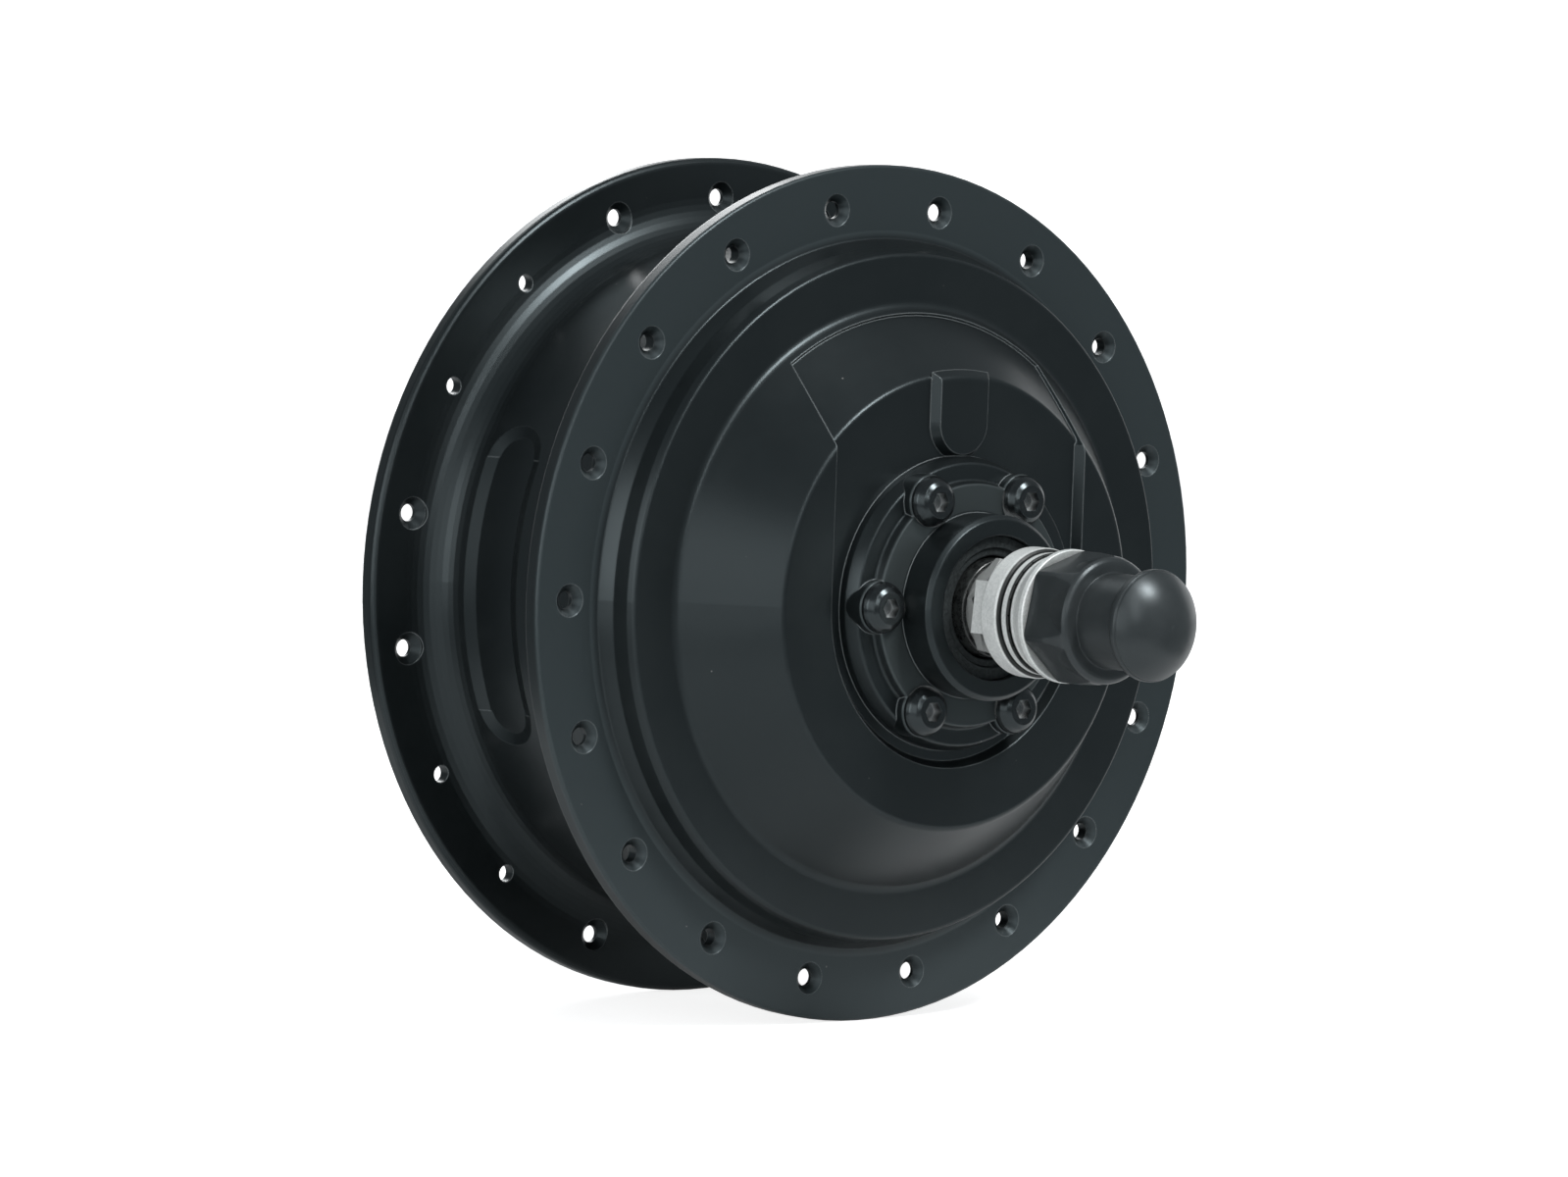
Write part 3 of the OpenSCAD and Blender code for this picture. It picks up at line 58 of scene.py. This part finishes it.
# A band is the pair of values between which a pattern fades in or out.
# These are radii, or places along the axle.
THREAD_INNER_BAND = (16.8 * MM, 17.2 * MM)
THREAD_OUTER_BAND = (17.6 * MM, 18.0 * MM)
FLANGE_RADIUS_BAND = (66.2 * MM, 67.2 * MM)
FLANGE_PLACE_BAND = (24.0 * MM, 24.5 * MM)
PAD_RADIUS_BAND = (17.2 * MM, 17.5 * MM)
PAD_START_BAND = (51.8 * MM, 52.2 * MM)
PAD_END_BAND = (53.0 * MM, 53.4 * MM)

# Distances from where two washers meet, between which the painted shade of their seam fades out.
SEAM_SHADE_BAND = (0.30 * MM, 0.55 * MM)

# Cosines of the rounded normal's lean: an edge takes the full pale edge colour, part rubbed wear and part
# painted highlight, at the first and none at the second.
EDGE_WEAR_AND_HIGHLIGHT_BAND = (0.80, 0.98)

# Radius to which paint and plating round a sharp edge.
PAINT_EDGE = 0.4 * MM
SCREW_EDGE = 0.25 * MM
ZINC_EDGE = 0.15 * MM
RUBBER_EDGE = 0.5 * MM

# Width of the grooves that get painted shade, and of the screw sockets.
SHADE_GROOVE_REACH = 5 * MM
SOCKET_REACH = 2.5 * MM

# Spacing of turning marks, of the wire's turns and of the stator's sheets.
TURNING_SPACING = 0.35 * MM
WIRE_SPACING = 0.8 * MM
SHEET_SPACING = 0.5 * MM

# Rays that look for a corner or a hollow at each point.
CORNER_SAMPLES = 6

# Tints of the gloss, the cooler one on paint and screws.
COOL_SHEEN = (0.80, 0.95, 1.0, 1)
RUBBER_SHEEN = (0.85, 0.96, 1.0, 1)

WHITE = (1, 1, 1, 1)
ROOM_TINT = (0.86, 0.95, 1.0, 1)
ROOM_STRENGTH = 0.26

# Name, place, width and height, and watts of each lamp.
SOFTBOXES = (
    ("softbox_left", (1.50, 0.10, 0.30), (0.6, 0.9), 5.5),
    ("softbox_top_back", (-0.07, -0.80, 1.06), (0.6, 0.6), 1.2),
    ("softbox_behind", (-0.50, -1.30, 0.75), (0.6, 0.6), 6),
    ("softbox_top_right", (-0.20, 0.98, 1.12), (0.40, 0.40), 16),
    ("softbox_front_left", (1.20, 0.90, 0.20), (1.0, 1.0), 3.6),
    ("strip_by_camera", (0.62, 1.55, 0.85), (0.04, 1.3), 4),
)


def add_camera():
    """Camera that matches the photograph. Returns the direction from the object back to it."""
    back = Vector((math.sin(CAMERA_AZIMUTH) * math.cos(CAMERA_ELEVATION),
                   -math.cos(CAMERA_AZIMUTH) * math.cos(CAMERA_ELEVATION),
                   math.sin(CAMERA_ELEVATION)))
    level_right = Vector((math.cos(CAMERA_AZIMUTH), math.sin(CAMERA_AZIMUTH), 0))
    level_up = back.cross(level_right)
    right = math.cos(CAMERA_ROLL) * level_right + math.sin(CAMERA_ROLL) * level_up
    up = -math.sin(CAMERA_ROLL) * level_right + math.cos(CAMERA_ROLL) * level_up
    place = CAMERA_DISTANCE * back + CAMERA_SLIDE_RIGHT * right + CAMERA_SLIDE_UP * up
    data = bpy.data.cameras.new("photo_camera")
    data.sensor_fit = "HORIZONTAL"
    data.sensor_width = SENSOR_WIDTH
    data.lens = SENSOR_WIDTH * FOCAL_LENGTH / PHOTO_WIDTH
    data.clip_end = CAMERA_RANGE
    camera = bpy.data.objects.new("photo_camera", data)
    turn = Matrix((right, up, back)).transposed().to_4x4()
    camera.matrix_world = Matrix.Translation(place) @ turn
    bpy.context.scene.collection.objects.link(camera)
    bpy.context.scene.camera = camera
    return back


class Finish:
    """One procedural material. Patterns read Object coordinates, which are metres in the part's frame."""

    def __init__(self, name):
        self.material = bpy.data.materials.new(name)
        self.material.use_nodes = True
        self.tree = self.material.node_tree
        self.tree.nodes.clear()
        output = self.tree.nodes.new("ShaderNodeOutputMaterial")
        self.shader = self.tree.nodes.new("ShaderNodeBsdfPrincipled")
        self.link(self.shader.outputs[0], output.inputs["Surface"])
        self.coords = self.tree.nodes.new("ShaderNodeTexCoord").outputs["Object"]

    def link(self, source, target):
        self.tree.links.new(source, target)

    def put(self, socket, value):
        """Links another node's output to the socket, or writes a plain value into it."""
        if hasattr(value, "node"):
            self.link(value, socket)
        else:
            socket.default_value = value

    def set(self, **values):
        """Fills the shader's inputs. An underscore in a name stands for a space."""
        for key, value in values.items():
            self.put(self.shader.inputs[key.replace("_", " ")], value)

    def noise(self, scale, detail=3.0, roughness=0.5):
        node = self.tree.nodes.new("ShaderNodeTexNoise")
        node.inputs["Scale"].default_value = scale
        node.inputs["Detail"].default_value = detail
        node.inputs["Roughness"].default_value = roughness
        self.link(self.coords, node.inputs["Vector"])
        return node.outputs["Fac"]

    def cells(self, scale):
        """Distance from the nearest of many scattered points."""
        node = self.tree.nodes.new("ShaderNodeTexVoronoi")
        node.inputs["Scale"].default_value = scale
        self.link(self.coords, node.inputs["Vector"])
        return node.outputs["Distance"]

    def math(self, kind, a, b=0.0):
        node = self.tree.nodes.new("ShaderNodeMath")
        node.operation = kind
        self.put(node.inputs[0], a)
        self.put(node.inputs[1], b)
        return node.outputs[0]

    def ramp(self, value, low, high, out_low=0.0, out_high=1.0):
        """Runs from one output to the other between low and high, and stays level outside them."""
        node = self.tree.nodes.new("ShaderNodeMapRange")
        node.clamp = True
        self.put(node.inputs["Value"], value)
        node.inputs["From Min"].default_value = low
        node.inputs["From Max"].default_value = high
        node.inputs["To Min"].default_value = out_low
        node.inputs["To Max"].default_value = out_high
        return node.outputs["Result"]

    def above(self, value, band):
        """0 below the band and 1 above it."""
        return self.ramp(value, *band)

    def below(self, value, band):
        """1 below the band and 0 above it."""
        return self.ramp(value, *band, 1.0, 0.0)

    def mix(self, share, first, second):
        """Colour between two others, each a node's output or red, green and blue."""
        node = self.tree.nodes.new("ShaderNodeMix")
        node.data_type = "RGBA"
        self.put(node.inputs["Factor"], share)
        sockets = [s for s in node.inputs if s.type == "RGBA"]
        for socket, colour in zip(sockets, (first, second)):
            self.put(socket, colour if hasattr(colour, "node") else (*colour, 1))
        return [s for s in node.outputs if s.type == "RGBA"][0]

    def bump(self, height, distance, strength=1.0, base=None):
        """Normal of a height pattern, laid over a base normal where one is given."""
        node = self.tree.nodes.new("ShaderNodeBump")
        node.inputs["Strength"].default_value = strength
        node.inputs["Distance"].default_value = distance
        self.link(height, node.inputs["Height"])
        if base is not None:
            self.link(base, node.inputs["Normal"])
        return node.outputs["Normal"]

    def soft_edges(self, radius):
        """Normal that rounds sharp edges by the given radius, as paint and plating do."""
        node = self.tree.nodes.new("ShaderNodeBevel")
        node.samples = CORNER_SAMPLES
        node.inputs["Radius"].default_value = radius
        return node.outputs["Normal"]

    def edges(self, radius):
        """Share of pale edge colour, part rubbed wear and part painted highlight, on sharp edges: how far the
        rounded normal leans from the face normal.
        """
        flat = self.tree.nodes.new("ShaderNodeNewGeometry")
        lean = self.tree.nodes.new("ShaderNodeVectorMath")
        lean.operation = "DOT_PRODUCT"
        self.link(self.soft_edges(radius), lean.inputs[0])
        self.link(flat.outputs["Normal"], lean.inputs[1])
        return self.below(lean.outputs["Value"], EDGE_WEAR_AND_HIGHLIGHT_BAND)

    def hollows(self, reach):
        """Openness of the surface: 1 on open faces, less in grooves and corners narrower than the reach."""
        node = self.tree.nodes.new("ShaderNodeAmbientOcclusion")
        node.samples = CORNER_SAMPLES
        node.inputs["Distance"].default_value = reach
        return node.outputs["AO"]

    def axes(self):
        """The three coordinates. The second runs along the axle, towards the disc side."""
        node = self.tree.nodes.new("ShaderNodeSeparateXYZ")
        self.link(self.coords, node.inputs[0])
        return node.outputs[0], node.outputs[1], node.outputs[2]

    def radius(self):
        """Distance from the wheel axis, the root of x squared plus z squared."""
        x, _, z = self.axes()
        return self.math("SQRT", self.math("ADD", self.math("MULTIPLY", x, x), self.math("MULTIPLY", z, z)))

    def waves(self, value, spacing):
        """Sine of the value, with one wave for each spacing."""
        return self.math("SINE", self.math("MULTIPLY", value, math.tau / spacing))


def freewheel_thread(f):
    """Right-handed thread on the side cover's boss.

    A sine of the turns, which are y over the pitch less the angle round the axle.
    """
    x, y, z = f.axes()
    turn = f.math("DIVIDE", f.math("ARCTAN2", x, z), math.tau)
    turns = f.math("SUBTRACT", f.math("DIVIDE", y, THREAD_PITCH), turn)
    ridge = f.waves(turns, 1)
    radius = f.radius()
    on_boss = f.math("MULTIPLY", f.above(radius, THREAD_INNER_BAND), f.below(radius, THREAD_OUTER_BAND))
    boss_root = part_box("side_cover")[0][1] + THREAD_LENGTH
    on_boss = f.math("MULTIPLY", on_boss, f.below(y, (boss_root, boss_root + THREAD_PITCH)))
    return f.math("MULTIPLY", ridge, on_boss)


def black_paint():
    """Satin black paint on cast aluminium: fine grain, faint clouds, a few pale specks and pale edges, part
    rubbed wear and part painted highlight.

    The near flange's face is a paler black, which is painted sheen, and the disc seat's pads are a paler
    black too.
    """
    deep, faded = (0.0050, 0.0066, 0.0072), (0.0076, 0.0094, 0.0100)
    flange_sheen_black, pad_black = (0.023, 0.0295, 0.0315), (0.030, 0.036, 0.037)
    rubbed, speck = (0.22, 0.24, 0.245), (0.16, 0.16, 0.155)
    f = Finish("satin_black_paint")
    grain = f.noise(2600, 3)
    clouds = f.noise(38, 4, 0.6)
    specks = f.below(f.cells(260), (0.035, 0.055))
    rare = f.above(f.noise(150, 2), (0.60, 0.66))
    dots = f.math("MULTIPLY", specks, rare)
    paint = f.mix(f.above(clouds, (0.35, 0.7)), deep, faded)
    _, along, _ = f.axes()
    on_flange = f.math("MULTIPLY", f.above(f.radius(), FLANGE_RADIUS_BAND), f.above(along, FLANGE_PLACE_BAND))
    # Paler black on the near flange's face: painted sheen.
    paint = f.mix(on_flange, paint, flange_sheen_black)
    on_pads = f.math("MULTIPLY", f.above(along, PAD_START_BAND), f.above(f.radius(), PAD_RADIUS_BAND))
    on_pads = f.math("MULTIPLY", on_pads, f.below(along, PAD_END_BAND))
    paint = f.mix(on_pads, paint, pad_black)
    # Pale edges: part rubbed wear, part painted highlight.
    colour = f.mix(f.edges(PAINT_EDGE), paint, rubbed)
    colour = f.mix(dots, colour, speck)
    rough = f.ramp(clouds, 0.3, 0.75, 0.30, 0.37)
    f.set(Base_Color=colour, Roughness=rough, IOR=1.5, Specular_Tint=COOL_SHEEN)
    skin = f.bump(grain, 0.03 * MM, 0.25, f.soft_edges(PAINT_EDGE))
    f.set(Normal=f.bump(freewheel_thread(f), 0.4 * MM, 0.9, skin))
    return f.material


def black_steel():
    """Blackened screw steel: half gloss with fine pits, and pale in the sockets, part bare steel where the
    key has rubbed them and part painted glint.
    """
    deep, faded, bare_and_glint = (0.005, 0.0056, 0.006), (0.012, 0.0125, 0.013), (0.55, 0.57, 0.57)
    f = Finish("blackened_screw_steel")
    pits = f.noise(1800, 4, 0.6)
    colour = f.mix(f.above(pits, (0.5, 0.8)), deep, faded)
    # Pale inside the socket: part bare steel, part painted glint.
    colour = f.mix(f.ramp(f.hollows(SOCKET_REACH), 0.35, 0.55, 0.8, 0.0), colour, bare_and_glint)
    f.set(Base_Color=colour, Roughness=f.ramp(pits, 0.3, 0.8, 0.20, 0.28), IOR=1.6)
    f.set(Specular_Tint=COOL_SHEEN)
    f.set(Normal=f.bump(pits, 0.01 * MM, 0.15, f.soft_edges(SCREW_EDGE)))
    return f.material


def zinc_plate(name, seams, open_shade=0.0):
    """Zinc plate: fine crystal speckle, handling marks, and painted shade in the grooves and where washers
    meet.

    The last argument is the share of painted shade on its open faces.
    """
    dull, bright = (0.66, 0.69, 0.68), (0.93, 0.95, 0.94)
    stain, shade_colour = (0.50, 0.53, 0.52), (0.012, 0.014, 0.014)
    f = Finish(name)
    crystals = f.noise(2100, 4, 0.7)
    stains = f.noise(160, 3)
    colour = f.mix(f.above(crystals, (0.3, 0.75)), dull, bright)
    colour = f.mix(f.ramp(stains, 0.55, 0.8, 0.0, 0.35), colour, stain)
    # Painted shade in grooves and hollows, and over open faces by the last argument.
    painted_shade = f.ramp(f.hollows(SHADE_GROOVE_REACH), 0.35, 0.75, 1.0, open_shade)
    _, along, _ = f.axes()
    for seam in seams:
        # Painted shade along the seams where washers meet.
        apart = f.math("ABSOLUTE", f.math("SUBTRACT", along, seam))
        painted_shade = f.math("MAXIMUM", painted_shade, f.below(apart, SEAM_SHADE_BAND))
    colour = f.mix(painted_shade, colour, shade_colour)
    f.set(Base_Color=colour, Metallic=0.25, Roughness=f.ramp(crystals, 0.3, 0.8, 0.36, 0.50))
    f.set(Normal=f.bump(crystals, 0.06 * MM, 0.6, f.soft_edges(ZINC_EDGE)))
    return f.material


def washer_seams():
    """Places along the axle where the torque washer, serrated washer and nut of each side meet."""
    seams = []
    for side, end in (("disc", 1), ("drive", 0)):
        seams.append(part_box(side + "_torque_washer")[end][1])
        seams.append(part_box(side + "_serrated_washer")[end][1])
    return seams


def sleeve_steel():
    """Dark steel of the spacer sleeve: its darkness is painted shade, blotched by a fine noise."""
    shaded, paler_shade = (0.010, 0.011, 0.011), (0.05, 0.055, 0.054)
    f = Finish("oily_sleeve_steel")
    blotches = f.noise(700, 4, 0.65)
    colour = f.mix(f.above(blotches, (0.35, 0.7)), shaded, paler_shade)
    f.set(Base_Color=colour, Metallic=0.2, Roughness=f.ramp(blotches, 0.3, 0.8, 0.22, 0.4))
    f.set(Normal=f.bump(blotches, 0.04 * MM, 0.5))
    return f.material


def moulded_rubber():
    """Satin black moulded rubber: faint skin grain and dull rubbed patches."""
    fresh, rubbed = (0.025, 0.0290, 0.0305), (0.035, 0.0395, 0.0415)
    f = Finish("moulded_black_rubber")
    skin = f.noise(900, 3, 0.55)
    wear = f.noise(120, 4)
    colour = f.mix(f.above(wear, (0.4, 0.8)), fresh, rubbed)
    f.set(Base_Color=colour, Roughness=f.ramp(wear, 0.3, 0.8, 0.29, 0.37), IOR=1.5)
    f.set(Specular_Tint=RUBBER_SHEEN)
    f.set(Normal=f.bump(skin, 0.03 * MM, 0.25, f.soft_edges(RUBBER_EDGE)))
    return f.material


def dusty_seal():
    """Rubber seal with gritty dust on its lip."""
    clean, dusty = (0.004, 0.0048, 0.005), (0.026, 0.031, 0.031)
    f = Finish("dusty_seal_rubber")
    grit = f.noise(1500, 5, 0.75)
    colour = f.mix(f.above(grit, (0.4, 0.65)), clean, dusty)
    f.set(Base_Color=colour, Roughness=0.7, Specular_Tint=RUBBER_SHEEN)
    f.set(Normal=f.bump(grit, 0.2 * MM, 0.8))
    return f.material


def plain_metal(name, dark, light, roughness, scale, turned_marks=0.0, shade_grooves=False):
    """Machined metal: two close greys mixed by a fine noise.

    Turning marks are rings around the wheel axis, and where shade_grooves is set, the grooves get painted
    shade.
    """
    groove_shade = (0.012, 0.013, 0.013)
    f = Finish(name)
    fine = f.noise(scale, 4, 0.6)
    colour = f.mix(f.above(fine, (0.3, 0.75)), dark, light)
    if shade_grooves:
        # Painted shade in the grooves.
        colour = f.mix(f.below(f.hollows(SHADE_GROOVE_REACH), (0.40, 0.85)), colour, groove_shade)
    rough = f.ramp(fine, 0.3, 0.8, roughness * 0.8, roughness * 1.2)
    f.set(Base_Color=colour, Metallic=1.0, Roughness=rough)
    height = fine
    if turned_marks:
        rings = f.waves(f.radius(), TURNING_SPACING)
        height = f.math("ADD", f.math("MULTIPLY", rings, turned_marks), fine)
    f.set(Normal=f.bump(height, 0.02 * MM, 0.4))
    return f.material


def copper_wire():
    """Enamelled wire: bands of turns across each coil, with a warm and a dark copper between them."""
    gap, wire = (0.22, 0.07, 0.022), (0.62, 0.24, 0.085)
    f = Finish("enamelled_copper_wire")
    band = f.waves(f.radius(), WIRE_SPACING)
    colour = f.mix(f.above(band, (-0.8, 0.4)), gap, wire)
    f.set(Base_Color=colour, Metallic=0.7, Roughness=0.3)
    f.set(Normal=f.bump(f.math("ADD", band, f.noise(600)), 0.2 * MM, 0.6))
    return f.material


def laminations():
    """Stacked sheet: thin dark lines along the axle, one for each sheet."""
    joint, steel = (0.10, 0.10, 0.105), (0.36, 0.37, 0.385)
    f = Finish("stacked_sheet")
    _, along, _ = f.axes()
    line = f.waves(along, SHEET_SPACING)
    colour = f.mix(f.above(line, (-0.9, 0.2)), joint, steel)
    f.set(Base_Color=colour, Metallic=0.9, Roughness=0.42)
    f.set(Normal=f.bump(line, 0.05 * MM, 0.5))
    return f.material


def plastic(name, dark, light, roughness):
    """Moulded plastic: two close tones in soft clouds and a light skin."""
    f = Finish(name)
    clouds = f.noise(300, 4, 0.6)
    rough = f.ramp(clouds, 0.3, 0.8, roughness * 0.85, roughness * 1.15)
    f.set(Base_Color=f.mix(f.above(clouds, (0.3, 0.75)), dark, light), Roughness=rough)
    f.set(Normal=f.bump(f.noise(1400, 3), 0.03 * MM, 0.3))
    return f.material


def dress_nodes():
    """Gives each CAD node its finish."""
    finishes = {
        "bearing_steel": plain_metal("ground_bearing_steel", (0.52, 0.53, 0.54), (0.70, 0.71, 0.72),
                                     0.18, 900),
        "gear_steel": plain_metal("cut_gear_steel", (0.30, 0.31, 0.32), (0.46, 0.47, 0.48), 0.34, 500),
        "axle_steel": plain_metal("turned_axle_steel", (0.42, 0.43, 0.44), (0.62, 0.63, 0.64), 0.26, 700,
                                  turned_marks=0.4, shade_grooves=True),
        "shell_paint": black_paint(),
        "black_steel": black_steel(),
        "zinc_plate": zinc_plate("bright_zinc_plate", washer_seams()),
        "cap_rubber": moulded_rubber(),
        "seal_rubber": dusty_seal(),
        "cast_aluminium": plain_metal("cast_aluminium", (0.48, 0.49, 0.50), (0.66, 0.67, 0.68), 0.45, 350),
        "rotor_steel": plain_metal("turned_rotor_steel", (0.26, 0.27, 0.28), (0.42, 0.43, 0.45), 0.36, 500,
                                   turned_marks=0.3),
        "magnet": plain_metal("nickel_plate", (0.50, 0.50, 0.51), (0.66, 0.66, 0.67), 0.2, 600),
        "bush_bronze": plain_metal("sintered_bronze", (0.36, 0.20, 0.08), (0.58, 0.36, 0.16), 0.4, 800),
        "lamination_steel": laminations(),
        "copper": copper_wire(),
        "board": plastic("green_circuit_board", (0.012, 0.10, 0.04), (0.02, 0.16, 0.065), 0.35),
        "gear_nylon": plastic("greased_nylon", (0.62, 0.57, 0.44), (0.76, 0.72, 0.60), 0.3),
        "gasket_rubber": plastic("gasket_sheet", (0.05, 0.05, 0.05), (0.10, 0.10, 0.10), 0.8),
    }
    for entry in frame["record"]["subparts"]:
        node = NODES[entry["node"]]
        node.data.materials.clear()
        node.data.materials.append(finishes[entry["material_slot"]])
    # The spacer sleeve's dark steel is painted shade.
    NODES["spacer_sleeve"].data.materials[0] = sleeve_steel()
    # The lock nut's darker zinc is painted shade.
    NODES["lock_nut"].data.materials[0] = zinc_plate("shade_painted_zinc_plate", [], 0.6)


def stage_material(name, seen, mirrored, grey):
    """Pale sheet that glows for some rays and is plain paint to the rest.

    Camera and transmission rays see one strength of glow, glossy rays another.
    """
    material = bpy.data.materials.new(name)
    material.use_nodes = True
    tree = material.node_tree
    tree.nodes.clear()
    output = tree.nodes.new("ShaderNodeOutputMaterial")
    path = tree.nodes.new("ShaderNodeLightPath")
    strength = None
    for ray, share in (("Is Camera Ray", seen), ("Is Transmission Ray", seen), ("Is Glossy Ray", mirrored)):
        part = tree.nodes.new("ShaderNodeMath")
        part.operation = "MULTIPLY"
        part.inputs[1].default_value = share
        tree.links.new(path.outputs[ray], part.inputs[0])
        if strength is None:
            strength = part.outputs[0]
            continue
        larger = tree.nodes.new("ShaderNodeMath")
        larger.operation = "MAXIMUM"
        tree.links.new(strength, larger.inputs[0])
        tree.links.new(part.outputs[0], larger.inputs[1])
        strength = larger.outputs[0]
    paint = tree.nodes.new("ShaderNodeBsdfDiffuse")
    paint.inputs["Color"].default_value = (grey, grey, grey, 1)
    light = tree.nodes.new("ShaderNodeEmission")
    light.inputs["Color"].default_value = WHITE
    tree.links.new(strength, light.inputs["Strength"])
    both = tree.nodes.new("ShaderNodeAddShader")
    tree.links.new(paint.outputs[0], both.inputs[0])
    tree.links.new(light.outputs[0], both.inputs[1])
    tree.links.new(both.outputs[0], output.inputs["Surface"])
    return material


def sheet(name, corners, material):
    """Flat sheet of the stage through the given corners."""
    mesh = bpy.data.meshes.new(name)
    mesh.from_pydata([tuple(c) for c in corners], [], [tuple(range(len(corners)))])
    mesh.materials.append(material)
    piece = bpy.data.objects.new(name, mesh)
    bpy.context.scene.collection.objects.link(piece)


def add_stage(back):
    """Floor that fans out behind the object, and a white wall at its far end."""
    level = Vector((back.x, back.y, 0)).normalized()
    side = Vector((-level.y, level.x, 0))
    low = Vector((0, 0, FLOOR_Z))
    tall = Vector((0, 0, WALL_HEIGHT))

    def spot(hand, row):
        """Corner of the floor on one hand, -1 or 1, at one of its rows."""
        half_width, behind = row
        return low + side * (hand * half_width) - level * behind

    floor = [spot(-1, FLOOR_FRONT), spot(1, FLOOR_FRONT), spot(1, FLOOR_WAIST),
             spot(1, FLOOR_END), spot(-1, FLOOR_END), spot(-1, FLOOR_WAIST)]
    wall = [spot(-1, FLOOR_END), spot(1, FLOOR_END), spot(1, FLOOR_END) + tall, spot(-1, FLOOR_END) + tall]
    sheet("floor", floor, stage_material("pale_floor", 0.82, 0.14, 0.74))
    sheet("backdrop", wall, stage_material("white_backdrop", 1.0, 0.9, 0.9))


def add_softbox(name, place, size, power):
    """Rectangular lamp that faces the origin, with its height upright."""
    data = bpy.data.lights.new(name, "AREA")
    data.shape = "RECTANGLE"
    data.size, data.size_y = size
    data.energy = power
    lamp = bpy.data.objects.new(name, data)
    place = Vector(place)
    lamp.matrix_world = Matrix.Translation(place) @ place.to_track_quat("Z", "Y").to_matrix().to_4x4()
    bpy.context.scene.collection.objects.link(lamp)


def add_room():
    """World that camera rays see white. All other rays, glossy ones too, see it dim and cool."""
    world = bpy.data.worlds.new("studio")
    world.use_nodes = True
    tree = world.node_tree
    dim = tree.nodes["Background"]
    dim.inputs["Color"].default_value = ROOM_TINT
    dim.inputs["Strength"].default_value = ROOM_STRENGTH
    white = tree.nodes.new("ShaderNodeBackground")
    white.inputs["Color"].default_value = WHITE
    path = tree.nodes.new("ShaderNodeLightPath")
    choose = tree.nodes.new("ShaderNodeMixShader")
    tree.links.new(path.outputs["Is Camera Ray"], choose.inputs[0])
    tree.links.new(dim.outputs[0], choose.inputs[1])
    tree.links.new(white.outputs[0], choose.inputs[2])
    tree.links.new(choose.outputs[0], tree.nodes["World Output"].inputs["Surface"])
    bpy.context.scene.world = world


back = add_camera()
add_stage(back)
add_room()
for softbox in SOFTBOXES:
    add_softbox(*softbox)
dress_nodes()
bpy.context.scene.view_settings.view_transform = "Standard"

bpy.context.view_layer.update()
